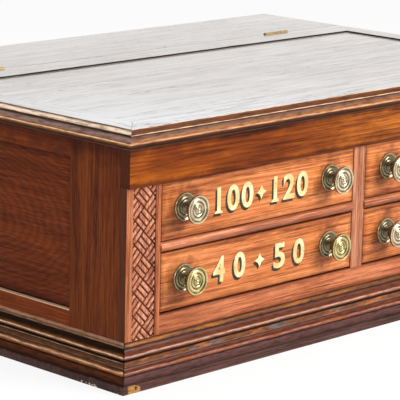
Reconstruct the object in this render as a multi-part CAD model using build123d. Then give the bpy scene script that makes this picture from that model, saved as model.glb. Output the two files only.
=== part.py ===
from build123d import *
import os

# Antique counter-top spool cabinet: four drawers behind a panelled carcass, with a
# shallow compartment under a hinged lid. Millimetres, +Z up, +Y towards the back.
# The origin is on the floor, in the middle of the box that holds the whole cabinet.

# Driving dimensions ------------------------------------------------------------
# Carcass
carcass_width = 792.0  # over the two side frames
carcass_depth = 535.0  # plane of the drawer faces to the outside of the back
side_thickness = 20.0  # stiles and rails of the side frames
back_thickness = 18.0  # rails and muntin of the back frame

# Heights, from the floor up
plinth_height = 9.5
bottom_rail_show = 23.8  # of the bottom rail, above the base moulding
lower_opening_height = 71.6
mid_rail_height = 13.0
upper_opening_height = 69.4
frieze_height = 45.5
lid_thickness = 23.0

# Front, from the side plane inwards
pilaster_width = 45.0
pilaster_thickness = 10.4
carved_field_margin = 10.5  # plain wood outside the carved field
carved_field_width = 34.5
carved_field_depth = 2.0
strip_width = 9.0
strip_depth = 22.0
divider_width = 21.0
frieze_proud = 4.6  # the frieze stands in front of the drawer faces
bottom_rail_thickness = 20.0
mid_rail_depth = 24.0
mid_rail_nose = 2.5  # its rounded nose stands in front of the drawer faces

# Side and back frames
front_stile_width = 93.0  # from the drawer plane to the panel
rear_stile_width = 70.0
side_top_rail_show = 23.0
side_bottom_rail_show = 19.9  # above the base moulding
tenon_length = 22.0
tenon_thickness = 7.0
tenon_shoulder = 4.0
panel_thickness = 7.0
panel_recess = 5.5  # panel face behind the face of its frame
panel_tongue = 6.0  # of the panel, in the groove of its frame
back_rail_height = 48.0
back_muntin_width = 60.0

# Inside the carcass
dust_board_thickness = 9.0
floor_thickness = 9.0  # floor of the lid compartment
bottom_board_thickness = 12.0
housing_depth = 3.0  # of the grooves that hold the dust boards
stop_length = 24.0
stop_depth = 14.0
stop_height = 10.0

# Base moulding, from the top down: each member's height and how far it steps out
base_ovolo_height = 4.8
base_ovolo_out = 4.0
quirk = 1.2  # small set-back that parts two members
curve_fullness = 0.25  # bow of a moulded curve, as a share of how far it steps out
upper_cove_height = 5.8
upper_cove_out = 4.7
upper_bead_radius = 3.0
base_fascia_height = 6.0
base_fascia_out = 3.3
lower_cove_height = 4.4
lower_cove_out = 3.6
lower_bead_radius = 2.4
skirt_height = 9.0
skirt_out = 3.4
plinth_out = 18.8
plinth_width = 44.0
plinth_bevel = 1.0

# Top: a border of moulded rails round a sunk panel, and a fixed board behind it
top_overhang_front = 8.0  # of the flat top past the drawer plane
top_overhang_side = 2.0
top_overhang_rear = 2.0
rear_board_depth = 147.0
border_width = 31.6
lid_rear_rail_width = 44.0
lid_panel_sink = 2.0
lid_panel_thickness = 11.0
lid_panel_tongue = 8.0
edge_bevel = 1.4
edge_bevel_out = 1.1
edge_ovolo_height = 5.0
edge_ovolo_out = 5.2
edge_quirk = 0.9
edge_fascia_height = 8.2
edge_fascia_out = 3.4
edge_under_height = 6.6
edge_under_in = 5.6

# Drawers
drawer_length = 500.0  # face to the back of the box
drawer_front_thickness = 20.0
drawer_side_thickness = 10.0
drawer_back_thickness = 10.0
drawer_bottom_thickness = 5.0
drawer_bottom_lift = 6.0  # underside of the bottom above the runners
drawer_side_drop = 8.0  # sides are lower than the front
drawer_groove = 5.0
dovetail_count = 3
dovetail_lap = 5.0  # wood of the front left over the ends of the tails
dovetail_wide = 0.74  # share of the pitch that a tail takes at its end
dovetail_slope = 1 / 7
front_edge_ease = 0.8

# Knobs: radii of the turning, and distances along its axis
knob_outer_inset = 37.5  # from the opening's edge at the pilaster to the knob's axis
knob_inner_inset = 44.0  # and from its edge at the centre divider
knob_lift = 2.2  # axis above the middle of the drawer front
knob_projection = 24.5  # drawer face to the knob's face
knob_face_radius = 17.0
knob_head_thickness = 4.0
knob_neck_radius = 6.0
shank_radius = 2.9
shank_past_front = 6.0
plate_radius = 16.6
plate_thickness = 3.4

# Lid hinges: a pair of brass butts
hinge_inset = 133.5  # middle of the hinge from the end of the flat top
hinge_length = 46.0
hinge_leaf_height = 18.0
hinge_leaf_thickness = 1.4
knuckle_count = 3
knuckle_radius = 2.2
hinge_pin_radius = 0.9
hinge_axis_lift = 0.2  # axis above the top's surface

# Clearances
side_gap = 1.4  # drawer front to the sides of its opening
top_gap = 1.1  # drawer front to the top of its opening
lower_foot_gap = 2.2  # worn gap under the front of a lower drawer
upper_foot_gap = 0.9  # and of an upper one
run_clearance = 0.3  # drawer to its runners and stops
lid_clearance = 0.3  # underside of the lid to the carcass
lid_joint_gap = 0.6  # lid to the fixed rear board
knuckle_gap = 0.3
pin_fit = 0.05
bore_fit = 0.1  # shanks in the drawer fronts and plates

# Derived planes ----------------------------------------------------------------
half_width = carcass_width / 2
base_moulding_height = (
    base_ovolo_height + upper_cove_height + 2 * upper_bead_radius + base_fascia_height
    + lower_cove_height + 2 * lower_bead_radius + skirt_height + quirk * 3
)
base_top = plinth_height + base_moulding_height
lower_floor = base_top + bottom_rail_show
lower_ceiling = lower_floor + lower_opening_height
upper_floor = lower_ceiling + mid_rail_height
upper_ceiling = upper_floor + upper_opening_height
carcass_top = upper_ceiling + frieze_height
lid_under = carcass_top + lid_clearance
top_z = lid_under + lid_thickness

front_y = (knob_projection - carcass_depth - top_overhang_rear) / 2
back_y = front_y + carcass_depth
back_inside_y = back_y - back_thickness
frieze_back_y = front_y + pilaster_thickness
top_front_y = front_y - top_overhang_front
top_rear_y = back_y + top_overhang_rear
hinge_y = top_rear_y - rear_board_depth
top_half_width = half_width + top_overhang_side
hinge_z = top_z + hinge_axis_lift

side_inside_x = half_width - side_thickness
opening_outer_x = half_width - pilaster_width - strip_width
opening_inner_x = divider_width / 2
opening_width = opening_outer_x - opening_inner_x


# Building blocks -----------------------------------------------------------------
def board(x0, x1, y0, y1, z0, z1):
    """A plain board between two opposite corners."""
    return Pos((x0 + x1) / 2, (y0 + y1) / 2, (z0 + z1) / 2) * Box(x1 - x0, y1 - y0, z1 - z0)


def prism(points, z0, z1):
    """An upright prism over a plan outline, used to cut runs of moulding to their mitres."""
    face = make_face(Polyline(*points, close=True))
    return Pos(0, 0, z0) * extrude(face, z1 - z0)


def bowed(start, end, bow):
    """An arc from start to end that stands bow to the left of the straight line."""
    run = Vector(*end) - Vector(*start)
    middle = (Vector(*start) + Vector(*end)) / 2
    left = Vector(-run.Y, run.X).normalized()
    return ThreePointArc(start, middle + left * bow, end)


def flipped(solid):
    """The same piece on the other side of the cabinet."""
    return mirror(solid, about=Plane.YZ)


def both_sides(solid):
    """A piece and its mirror twin, kept as two solids."""
    return [solid, flipped(solid)]


# Sections of the mouldings ---------------------------------------------------------
def base_section():
    """Base moulding: x outwards from the carcass, y up from the top of the plinth."""
    y = base_moulding_height
    ovolo_foot = (base_ovolo_out, y - base_ovolo_height)
    y -= base_ovolo_height + quirk
    cove_head = (base_ovolo_out - quirk, y)
    y -= upper_cove_height
    bead_x = cove_head[0] + upper_cove_out
    cove_foot = (bead_x, y)
    upper_bead = (bead_x, y - upper_bead_radius)
    y -= 2 * upper_bead_radius + quirk
    fascia_x = bead_x + base_fascia_out
    fascia_head = (fascia_x - quirk / 2, y)
    y -= base_fascia_height
    fascia_foot = (fascia_x, y)
    lower_head = (fascia_x - quirk, y - quirk / 2)
    y -= lower_cove_height
    lower_x = lower_head[0] + lower_cove_out
    lower_foot = (lower_x, y)
    lower_bead = (lower_x, y - lower_bead_radius)
    y -= 2 * lower_bead_radius + quirk
    skirt_head = (lower_x + quirk, y)
    skirt_foot = (lower_x + skirt_out, 0)
    return make_face([
        Line((0, 0), (0, base_moulding_height)),
        bowed((0, base_moulding_height), ovolo_foot, base_ovolo_out * curve_fullness),
        Line(ovolo_foot, cove_head),
        bowed(cove_head, cove_foot, -upper_cove_out * curve_fullness),
        CenterArc(upper_bead, upper_bead_radius, 90, -180),
        Line((bead_x, upper_bead[1] - upper_bead_radius), fascia_head),
        Line(fascia_head, fascia_foot),
        Line(fascia_foot, lower_head),
        bowed(lower_head, lower_foot, -lower_cove_out * curve_fullness),
        CenterArc(lower_bead, lower_bead_radius, 90, -180),
        Line((lower_x, lower_bead[1] - lower_bead_radius), skirt_head),
        Line(skirt_head, skirt_foot),
        Line(skirt_foot, (0, 0)),
    ])


def top_edge_section(reach, sole=0.0):
    """Moulded edge of the top: x outwards from the flat, y up from the underside."""
    ovolo_head = (edge_bevel_out, lid_thickness - edge_bevel)
    ovolo_foot = (edge_ovolo_out, ovolo_head[1] - edge_ovolo_height)
    fascia_head = (edge_ovolo_out, ovolo_foot[1] - edge_quirk)
    fascia_foot = (edge_ovolo_out + edge_fascia_out, fascia_head[1] - edge_fascia_height)
    under_foot = (fascia_foot[0] - edge_under_in, fascia_foot[1] - edge_under_height)
    return make_face([
        Line((-reach, -sole), (-reach, lid_thickness)),
        Line((-reach, lid_thickness), (0, lid_thickness)),
        Line((0, lid_thickness), ovolo_head),
        bowed(ovolo_head, ovolo_foot, edge_ovolo_out * curve_fullness),
        Line(ovolo_foot, (ovolo_foot[0] - edge_quirk, fascia_head[1])),
        Line((ovolo_foot[0] - edge_quirk, fascia_head[1]), fascia_head),
        bowed(fascia_head, fascia_foot, -edge_quirk),
        bowed(fascia_foot, under_foot, edge_under_in * curve_fullness),
        Line(under_foot, (under_foot[0], -sole)),
        Line((under_foot[0], -sole), (-reach, -sole)),
    ])


edge_out = edge_ovolo_out + edge_fascia_out  # overhang of the moulded edge past the flat top


def along_front(section, y, z, half_length):
    """A section run along the front, both ways from the middle."""
    start = Plane(origin=(half_length, y, z), x_dir=(0, -1, 0), z_dir=(-1, 0, 0))
    return extrude(start * section, 2 * half_length)


def along_side(section, x, y0, y1, z):
    """A section run from front to back on the right-hand side."""
    start = Plane(origin=(x, y1, z), x_dir=(1, 0, 0), z_dir=(0, -1, 0))
    return extrude(start * section, y1 - y0)


# Side frames ---------------------------------------------------------------------
side_panel_z0 = base_top + side_bottom_rail_show
side_panel_z1 = carcass_top - side_top_rail_show
side_panel_y0 = front_y + front_stile_width
side_panel_y1 = back_y - rear_stile_width


def side_rail(z0, z1):
    """A rail of the right-hand side frame, with a tenon at each end."""
    middle_x = half_width - side_thickness / 2
    rail = board(side_inside_x, half_width, side_panel_y0, side_panel_y1, z0, z1)
    tenon_x0 = middle_x - tenon_thickness / 2
    return rail + board(
        tenon_x0, tenon_x0 + tenon_thickness,
        side_panel_y0 - tenon_length, side_panel_y1 + tenon_length,
        z0 + tenon_shoulder, z1 - tenon_shoulder,
    )


def side_frame():
    """Right-hand side: two stiles, two rails and a sunk panel."""
    face_x = half_width - panel_recess
    panel = board(
        face_x - panel_thickness, face_x,
        side_panel_y0 - panel_tongue, side_panel_y1 + panel_tongue,
        side_panel_z0 - panel_tongue, side_panel_z1 + panel_tongue,
    )
    rails = [
        side_rail(plinth_height, side_panel_z0) - panel,
        side_rail(side_panel_z1, carcass_top) - panel,
    ]
    front_stile = board(side_inside_x, half_width, frieze_back_y, side_panel_y0, plinth_height, carcass_top)
    rear_stile = board(side_inside_x, half_width, side_panel_y1, back_y, plinth_height, carcass_top)
    return {
        "front_stile": front_stile - panel - rails,
        "rear_stile": rear_stile - panel - rails,
        "side_rails": rails,
        "side_panel": panel,
    }


# Front ---------------------------------------------------------------------------
def frieze_board():
    """Board under the lid: the front wall of the compartment."""
    return board(-half_width, half_width, front_y - frieze_proud, frieze_back_y, upper_ceiling, carcass_top)


def pilaster():
    """Right-hand pilaster: a facing board with a sunk field for the carving."""
    inner_x = half_width - pilaster_width
    blank = board(inner_x, half_width, front_y, frieze_back_y, plinth_height, upper_ceiling)
    field_x1 = half_width - carved_field_margin
    field = board(
        field_x1 - carved_field_width, field_x1,
        front_y, front_y + carved_field_depth, base_top, upper_ceiling,
    )
    return blank - field


def edge_strip():
    """Right-hand upright strip that closes the opening of the drawers."""
    return board(
        opening_outer_x, opening_outer_x + strip_width,
        front_y, front_y + strip_depth, plinth_height, upper_ceiling,
    )


def centre_divider():
    return board(
        -opening_inner_x, opening_inner_x,
        front_y, front_y + strip_depth, lower_floor, upper_ceiling,
    )


def mid_rail():
    """Right-hand rail between two drawers, with a half-round nose."""
    nose_radius = mid_rail_height / 2
    tip_y = front_y - mid_rail_nose
    rear_y = front_y + mid_rail_depth
    middle_z = lower_ceiling + nose_radius
    nose_y = tip_y + nose_radius
    body = board(opening_inner_x, opening_outer_x, nose_y, rear_y, lower_ceiling, upper_floor)
    nose = Pos((opening_inner_x + opening_outer_x) / 2, nose_y, middle_z)
    return body + nose * Rot(0, 90, 0) * Cylinder(nose_radius, opening_width)


def bottom_rail():
    return board(
        -opening_outer_x, opening_outer_x,
        front_y, front_y + bottom_rail_thickness, plinth_height, lower_floor,
    )


# Back ----------------------------------------------------------------------------
def back_frame():
    """Two rails and a muntin between the rear stiles, with two sunk panels."""
    top_z0 = carcass_top - back_rail_height
    bottom_z1 = plinth_height + back_rail_height
    muntin_x = back_muntin_width / 2
    panel_y1 = back_y - panel_recess
    panel = board(
        muntin_x - panel_tongue, side_inside_x, panel_y1 - panel_thickness, panel_y1,
        bottom_z1 - panel_tongue, top_z0 + panel_tongue,
    )
    panels = both_sides(panel)
    frame = [
        board(-side_inside_x, side_inside_x, back_inside_y, back_y, plinth_height, bottom_z1),
        board(-side_inside_x, side_inside_x, back_inside_y, back_y, top_z0, carcass_top),
        board(-muntin_x, muntin_x, back_inside_y, back_y, bottom_z1, top_z0),
    ]
    return [piece - panels for piece in frame], panels


# Inside --------------------------------------------------------------------------
def dust_board():
    """Right-hand shelf that the upper drawer runs on, housed in its neighbours."""
    return board(
        opening_inner_x - housing_depth, opening_outer_x + housing_depth,
        front_y + mid_rail_depth, back_inside_y, upper_floor - dust_board_thickness, upper_floor,
    )


def inner_side(shelves):
    """Right-hand board behind the edge strip: the outer wall of the drawers' bays."""
    wall = board(
        opening_outer_x, opening_outer_x + strip_width,
        front_y + strip_depth, back_inside_y, lower_floor, upper_ceiling,
    )
    return wall - shelves


def centre_partition(shelves):
    wall = board(
        -opening_inner_x, opening_inner_x,
        front_y + strip_depth, back_inside_y, lower_floor, upper_ceiling,
    )
    return wall - shelves


def compartment_floor():
    return board(
        -side_inside_x, side_inside_x, frieze_back_y, back_inside_y,
        upper_ceiling, upper_ceiling + floor_thickness,
    )


def bottom_board(strips):
    floor = board(
        -side_inside_x, side_inside_x, front_y + bottom_rail_thickness, back_inside_y,
        lower_floor - bottom_board_thickness, lower_floor,
    )
    return floor - strips


def drawer_stops():
    """Blocks behind the drawers, glued to the boards that they run on."""
    y0 = front_y + drawer_length + run_clearance
    stops = []
    for floor_z in (lower_floor, upper_floor):
        for x0 in (opening_inner_x, opening_outer_x - stop_length):
            x1, y1, z1 = x0 + stop_length, y0 + stop_depth, floor_z + stop_height
            stops += both_sides(board(x0, x1, y0, y1, floor_z, z1))
    return stops


# Base ----------------------------------------------------------------------------
def base_mouldings():
    """Front run and right-hand run of the base moulding, mitred at the corner."""
    section = base_section()
    beyond = plinth_out * 2
    run_x = half_width + beyond
    mitre_y = front_y - beyond
    front_plan = [
        (-half_width, front_y), (half_width, front_y), (run_x, mitre_y), (-run_x, mitre_y),
    ]
    side_plan = [
        (half_width, front_y), (half_width, back_y), (run_x, back_y), (run_x, mitre_y),
    ]
    front = along_front(section, front_y, plinth_height, run_x)
    side = along_side(section, half_width, mitre_y, back_y, plinth_height)
    return (
        front & prism(front_plan, plinth_height, base_top),
        side & prism(side_plan, plinth_height, base_top),
    )


def plinth_strips():
    """Four strips under the carcass and the moulding: what the cabinet stands on."""
    out_x = half_width + plinth_out
    out_y = front_y - plinth_out
    in_x = out_x - plinth_width
    in_y = out_y + plinth_width
    front = prism([(-out_x, out_y), (out_x, out_y), (in_x, in_y), (-in_x, in_y)], 0, plinth_height)
    side = prism([(out_x, out_y), (out_x, back_y), (in_x, back_y), (in_x, in_y)], 0, plinth_height)
    front = chamfer(front.edges().filter_by(Axis.X).group_by(Axis.Y)[0].group_by(Axis.Z)[-1], plinth_bevel)
    side = chamfer(side.edges().filter_by(Axis.Y).group_by(Axis.X)[-1].group_by(Axis.Z)[-1], plinth_bevel)
    back = board(-in_x, in_x, back_y - plinth_width, back_y, 0, plinth_height)
    return [front, *both_sides(side), back]


# Top -----------------------------------------------------------------------------
def hinge_places():
    """Middle of each hinge along the joint."""
    place = top_half_width - hinge_inset
    return (-place, place)


def barrel_trough(x):
    """Room that the two boards leave for a hinge's barrel."""
    room = Cylinder(knuckle_radius + knuckle_gap, hinge_length + 2 * knuckle_gap)
    return Pos(x, hinge_y, hinge_z) * Rot(0, 90, 0) * room


def rear_top_board():
    """Fixed board behind the lid, thicker than it by the lid's clearance, with moulded ends."""
    section = top_edge_section(top_half_width, sole=lid_clearance)
    half = along_side(section, top_half_width, hinge_y + lid_joint_gap / 2, top_rear_y, lid_under)
    return half + flipped(half) - [barrel_trough(x) for x in hinge_places()]


def lid():
    """Mitred border of four rails round a sunk panel."""
    front = top_front_y
    rear = hinge_y - lid_joint_gap / 2
    side = top_half_width
    inner_x = side - border_width
    inner_front = front + border_width
    inner_rear = rear - lid_rear_rail_width
    panel_z1 = top_z - lid_panel_sink
    panel = board(
        -inner_x - lid_panel_tongue, inner_x + lid_panel_tongue,
        inner_front - lid_panel_tongue, inner_rear + lid_panel_tongue,
        panel_z1 - lid_panel_thickness, panel_z1,
    )
    out = edge_out * 2
    section = top_edge_section(border_width)
    front_run = along_front(section, front, lid_under, side + out)
    side_run = along_side(section, side, front - out, rear, lid_under)
    front_plan = [
        (-side - out, front - out), (side + out, front - out),
        (inner_x, inner_front), (-inner_x, inner_front),
    ]
    side_plan = [
        (side + out, front - out), (side + out, rear), (side, rear),
        (inner_x, inner_rear), (inner_x, inner_front),
    ]
    rear_plan = [(-side, rear), (side, rear), (inner_x, inner_rear), (-inner_x, inner_rear)]
    troughs = [barrel_trough(x) for x in hinge_places()]
    side_rail_piece = (side_run & prism(side_plan, lid_under, top_z)) - panel
    return {
        "lid_panel": panel,
        "lid_front_rail": (front_run & prism(front_plan, lid_under, top_z)) - panel,
        "lid_right_rail": side_rail_piece,
        "lid_left_rail": flipped(side_rail_piece),
        "lid_rear_rail": prism(rear_plan, lid_under, top_z) - panel - troughs,
    }


# Hinges --------------------------------------------------------------------------
def hinge_leaf(x, side, knuckles):
    """One leaf, side -1 on the lid or +1 on the rear board, with its own knuckles."""
    pitch = (hinge_length + knuckle_gap) / knuckle_count
    face_y = hinge_y + side * lid_joint_gap / 2
    buried_y = face_y + side * hinge_leaf_thickness
    y0, y1 = sorted((face_y, buried_y))
    plate_top = hinge_z - knuckle_radius - knuckle_gap
    leaf = board(x - hinge_length / 2, x + hinge_length / 2, y0, y1, top_z - hinge_leaf_height, plate_top)
    for number in knuckles:
        start = x - hinge_length / 2 + number * pitch
        middle = start + (pitch - knuckle_gap) / 2
        leaf += board(start, start + pitch - knuckle_gap, y0, y1, plate_top, hinge_z)
        leaf += Pos(middle, hinge_y, hinge_z) * Rot(0, 90, 0) * Cylinder(knuckle_radius, pitch - knuckle_gap)
    bore = Pos(x, hinge_y, hinge_z) * Rot(0, 90, 0) * Cylinder(hinge_pin_radius + pin_fit, hinge_length * 2)
    return leaf - bore


def hinge_pin(x):
    return Pos(x, hinge_y, hinge_z) * Rot(0, 90, 0) * Cylinder(hinge_pin_radius, hinge_length)


# Drawers -------------------------------------------------------------------------
def tail_outline(root_y, tip_y, z0, height):
    """Corner points of a row of dovetails, from the bottom up, along one end of a side."""
    pitch = height / dovetail_count
    spread = abs(tip_y - root_y) * dovetail_slope
    points = []
    for number in range(dovetail_count):
        middle = z0 + pitch * (number + 0.5)
        half_tip = pitch * dovetail_wide / 2
        half_root = half_tip - spread
        points += [
            (root_y, middle - half_root), (tip_y, middle - half_tip),
            (tip_y, middle + half_tip), (root_y, middle + half_root),
        ]
    return points


def drawer(floor_z, opening_height, foot_gap):
    """Right-hand drawer: front, two dovetailed sides, back and bottom, round x = 0."""
    half = opening_width / 2 - side_gap
    z0 = floor_z + run_clearance
    front_z1 = floor_z + opening_height - top_gap
    side_z1 = front_z1 - drawer_side_drop
    side_height = side_z1 - z0
    front_inside = front_y + drawer_front_thickness
    rear = front_y + drawer_length
    back_inside = rear - drawer_back_thickness
    inside_x = half - drawer_side_thickness
    bottom_z0 = z0 + drawer_bottom_lift
    bottom_z1 = bottom_z0 + drawer_bottom_thickness

    bottom = board(
        -inside_x - drawer_groove, inside_x + drawer_groove,
        front_inside - drawer_groove, rear, bottom_z0, bottom_z1,
    )
    front_tails = tail_outline(front_inside, front_y + dovetail_lap, z0, side_height)
    back_tails = tail_outline(back_inside, rear, bottom_z1, side_z1 - bottom_z1)
    outline = [(front_inside, z0), *front_tails, (front_inside, side_z1)]
    outline += [(back_inside, side_z1), *reversed(back_tails), (back_inside, bottom_z1)]
    outline += [(rear, bottom_z1), (rear, z0)]
    side_face = make_face(Polyline(*outline, close=True))
    side_plane = Plane(origin=(inside_x, 0, 0), x_dir=(0, 1, 0), z_dir=(1, 0, 0))
    side = extrude(side_plane * side_face, drawer_side_thickness)
    sides = both_sides(side - bottom)

    front = board(-half, half, front_y, front_inside, floor_z + foot_gap, front_z1)
    front = chamfer(front.faces().sort_by(Axis.Y)[0].edges(), front_edge_ease)
    knob_z = (z0 + front_z1) / 2 + knob_lift
    on_face = [Pos(x, front_y, knob_z) * Rot(90, 0, 0) for x in knob_places()]
    bore = Cylinder(shank_radius + bore_fit, 3 * drawer_front_thickness)
    front -= [place * bore for place in on_face]
    back = board(-half, half, back_inside, rear, bottom_z1, side_z1)
    return {
        "front": front - sides - bottom,
        "sides": sides,
        "back": back - sides,
        "bottom": bottom,
        "knobs": [place * knob() for place in on_face],
        "backplates": [place * backplate() for place in on_face],
    }


def knob_places():
    """Knob axes of a right-hand drawer, measured from its middle."""
    return (knob_inner_inset - opening_width / 2, opening_width / 2 - knob_outer_inset)


def turned(outline):
    """A turning about Z, from its outline as (radius, height) points."""
    return revolve(make_face(Polyline(*[(x, 0, z) for x, z in outline], close=True)), Axis.Z)


def knob():
    """Turned brass knob on its own shank, axis Z, with the drawer face at z = 0."""
    shank_end = -drawer_front_thickness - shank_past_front
    head_z = knob_projection - knob_head_thickness
    return turned([
        (0, shank_end),
        (shank_radius, shank_end),
        (shank_radius, plate_thickness),
        (knob_neck_radius, plate_thickness),
        (knob_neck_radius, head_z),
        (knob_face_radius, head_z),
        (knob_face_radius, knob_projection),
        (0, knob_projection),
    ])


def backplate():
    """Round plate between knob and drawer, axis Z, lying on z = 0."""
    bore = shank_radius + bore_fit
    return turned([(bore, 0), (plate_radius, 0), (plate_radius, plate_thickness), (bore, plate_thickness)])


# Assembly ------------------------------------------------------------------------
def cabinet_nodes():
    nodes = {}
    for name, piece in side_frame().items():
        nodes["right_" + name] = piece
        nodes["left_" + name] = [flipped(p) for p in piece] if isinstance(piece, list) else flipped(piece)
    nodes["frieze_board"] = frieze_board()
    nodes["right_pilaster"] = pilaster()
    nodes["left_pilaster"] = flipped(pilaster())
    strips = both_sides(edge_strip())
    shelves = both_sides(dust_board())
    nodes["front_edge_strips"] = strips
    nodes["centre_divider"] = centre_divider()
    nodes["mid_rails"] = both_sides(mid_rail())
    nodes["bottom_rail"] = bottom_rail()
    nodes["back_rails"], nodes["back_panels"] = back_frame()
    nodes["dust_boards"] = shelves
    nodes["inner_sides"] = both_sides(inner_side(shelves))
    nodes["centre_partition"] = centre_partition(shelves)
    nodes["compartment_floor"] = compartment_floor()
    nodes["bottom_board"] = bottom_board(strips)
    nodes["drawer_stops"] = drawer_stops()
    nodes["base_front_moulding"], side_moulding = base_mouldings()
    nodes["base_side_mouldings"] = both_sides(side_moulding)
    nodes["plinth_strips"] = plinth_strips()
    return nodes


def top_nodes():
    lid_leaves = [hinge_leaf(x, -1, range(1, knuckle_count, 2)) for x in hinge_places()]
    fixed_leaves = [hinge_leaf(x, 1, range(0, knuckle_count, 2)) for x in hinge_places()]
    nodes = lid()
    nodes["lid_rear_rail"] = nodes["lid_rear_rail"] - lid_leaves
    nodes["rear_top_board"] = rear_top_board() - fixed_leaves
    nodes["lid_hinge_leaves"] = lid_leaves
    nodes["fixed_hinge_leaves"] = fixed_leaves
    nodes["hinge_pins"] = [hinge_pin(x) for x in hinge_places()]
    return nodes


def drawer_nodes():
    nodes = {}
    middle_x = (opening_inner_x + opening_outer_x) / 2
    rows = {
        "lower": (lower_floor, lower_opening_height, lower_foot_gap),
        "upper": (upper_floor, upper_opening_height, upper_foot_gap),
    }
    for row, sizes in rows.items():
        for name, piece in drawer(*sizes).items():
            pieces = piece if isinstance(piece, list) else [piece]
            placed = [Pos(middle_x, 0, 0) * p for p in pieces]
            nodes[f"{row}_right_drawer_{name}"] = placed
            nodes[f"{row}_left_drawer_{name}"] = [flipped(p) for p in placed]
    return nodes


def write(nodes):
    """Write one STEP file for each node: a single solid, or a group of solids."""
    os.makedirs("parts", exist_ok=True)
    for name, piece in nodes.items():
        pieces = piece if isinstance(piece, list) else [piece]
        solids = [solid for p in pieces for solid in p.solids()]
        shape = solids[0] if len(solids) == 1 else Compound(children=solids)
        export_step(shape, f"parts/{name}.step")


all_nodes = {**cabinet_nodes(), **top_nodes(), **drawer_nodes()}
write(all_nodes)
print(len(all_nodes), "nodes, top at", round(top_z, 2), "front plane at", round(front_y, 2))
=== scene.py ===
# %% [markdown]
# # An antique spool cabinet
# The cabinet's construction comes packed, as a frame of named boards, mouldings and
# hinges. This lesson gives it its looks: old varnished wood, aged brass, the carved
# basket weave of the pilasters and the gilding on the drawers.

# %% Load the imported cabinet
import math

import bpy
from mathutils import Matrix, Vector


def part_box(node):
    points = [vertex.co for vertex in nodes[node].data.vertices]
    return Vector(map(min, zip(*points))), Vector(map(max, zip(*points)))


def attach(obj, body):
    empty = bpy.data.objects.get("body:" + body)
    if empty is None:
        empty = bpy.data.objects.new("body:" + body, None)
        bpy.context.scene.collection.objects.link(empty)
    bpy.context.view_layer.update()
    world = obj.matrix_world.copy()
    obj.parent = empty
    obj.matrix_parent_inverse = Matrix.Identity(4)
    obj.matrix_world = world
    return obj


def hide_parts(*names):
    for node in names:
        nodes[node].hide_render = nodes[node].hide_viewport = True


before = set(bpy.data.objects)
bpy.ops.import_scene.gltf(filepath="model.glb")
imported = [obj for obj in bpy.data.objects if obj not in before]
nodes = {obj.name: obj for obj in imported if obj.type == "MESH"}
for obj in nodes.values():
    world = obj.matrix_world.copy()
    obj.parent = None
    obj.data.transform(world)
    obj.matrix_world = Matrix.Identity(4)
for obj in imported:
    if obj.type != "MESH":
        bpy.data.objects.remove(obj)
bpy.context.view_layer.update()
MM = 0.001

# %% [markdown]
# ## Camera
# A photographer stood off the cabinet's front left corner with a long lens. The place
# and the angles were solved from the vanishing points of the cabinet's edges. A long
# lens far away keeps the edges nearly parallel, as in the photograph.

# %% Camera
CAMERA_PLACE = Vector((-2.1095, -2.04945, 0.7740))
CAMERA_TURN = math.radians(45.58)  # from the cabinet's depth towards its right
CAMERA_TILT = math.radians(12.57)  # below the horizon
CAMERA_ROLL = math.radians(1.28)
LENS_MM = 205.8

camera_data = bpy.data.cameras.new("camera")
camera_data.lens = LENS_MM
camera_data.sensor_width = 36
camera = bpy.data.objects.new("camera", camera_data)
bpy.context.scene.collection.objects.link(camera)
turn = Matrix.Rotation(-CAMERA_TURN, 4, "Z") @ Matrix.Rotation(math.pi / 2 - CAMERA_TILT, 4, "X")
camera.matrix_world = Matrix.Translation(CAMERA_PLACE) @ turn @ Matrix.Rotation(CAMERA_ROLL, 4, "Z")
bpy.context.scene.camera = camera
print("camera looks along", [round(x, 3) for x in -camera.matrix_world.col[2].xyz])

# %% [markdown]
# ## Floor and light
# The photograph has a white sweep, a bright softbox to the right of the camera, and
# little light on the left side. The floor mixes its own white with the light that it
# receives, so that it stays white and still shows the cabinet's shadow.

# %% Node helper
def node(tree, kind, **values):
    """A shader node, with its settings and its sockets' plain values."""
    made = tree.nodes.new("ShaderNode" + kind)
    for name, value in values.items():
        if name in made.inputs:
            made.inputs[name].default_value = value
        else:
            setattr(made, name, value)
    return made


def new_material(name):
    """A node material with nothing in it but its output."""
    material = bpy.data.materials.new(name)
    material.use_nodes = True
    material.node_tree.nodes.clear()
    output = material.node_tree.nodes.new("ShaderNodeOutputMaterial")
    return material, material.node_tree, output

# %% Floor
FLOOR_REACH = 30.0
FLOOR_WHITE = 0.88  # share of its own white that the floor shows

floor_paint, tree, output = new_material("floor_paint")
received = node(tree, "BsdfDiffuse", Color=(0.86, 0.86, 0.86, 1))
own = node(tree, "Emission", Color=(1, 1, 1, 1), Strength=1.0)
rays = node(tree, "LightPath")
seen = node(tree, "Math", operation="MAXIMUM")
share = node(tree, "Math", operation="MULTIPLY")
share.inputs[1].default_value = FLOOR_WHITE
mix = node(tree, "MixShader")
tree.links.new(rays.outputs["Is Camera Ray"], seen.inputs[0])
tree.links.new(rays.outputs["Is Glossy Ray"], seen.inputs[1])
tree.links.new(seen.outputs[0], share.inputs[0])
tree.links.new(share.outputs[0], mix.inputs[0])
tree.links.new(received.outputs[0], mix.inputs[1])
tree.links.new(own.outputs[0], mix.inputs[2])
tree.links.new(mix.outputs[0], output.inputs["Surface"])

bpy.ops.object.select_all(action="DESELECT")
bpy.ops.mesh.primitive_plane_add(size=FLOOR_REACH)
floor = bpy.context.active_object
floor.name = "floor"
floor.data.materials.append(floor_paint)

# %% World and softboxes
def softbox(name, place, size, power, aim=(0.0, -0.1, 0.15)):
    """A square lamp that faces the cabinet."""
    lamp = bpy.data.lights.new(name, "AREA")
    lamp.size = size
    lamp.energy = power
    holder = bpy.data.objects.new(name, lamp)
    holder.location = place
    holder.rotation_euler = (Vector(aim) - Vector(place)).to_track_quat("-Z", "Y").to_euler()
    bpy.context.scene.collection.objects.link(holder)
    return holder


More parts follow.
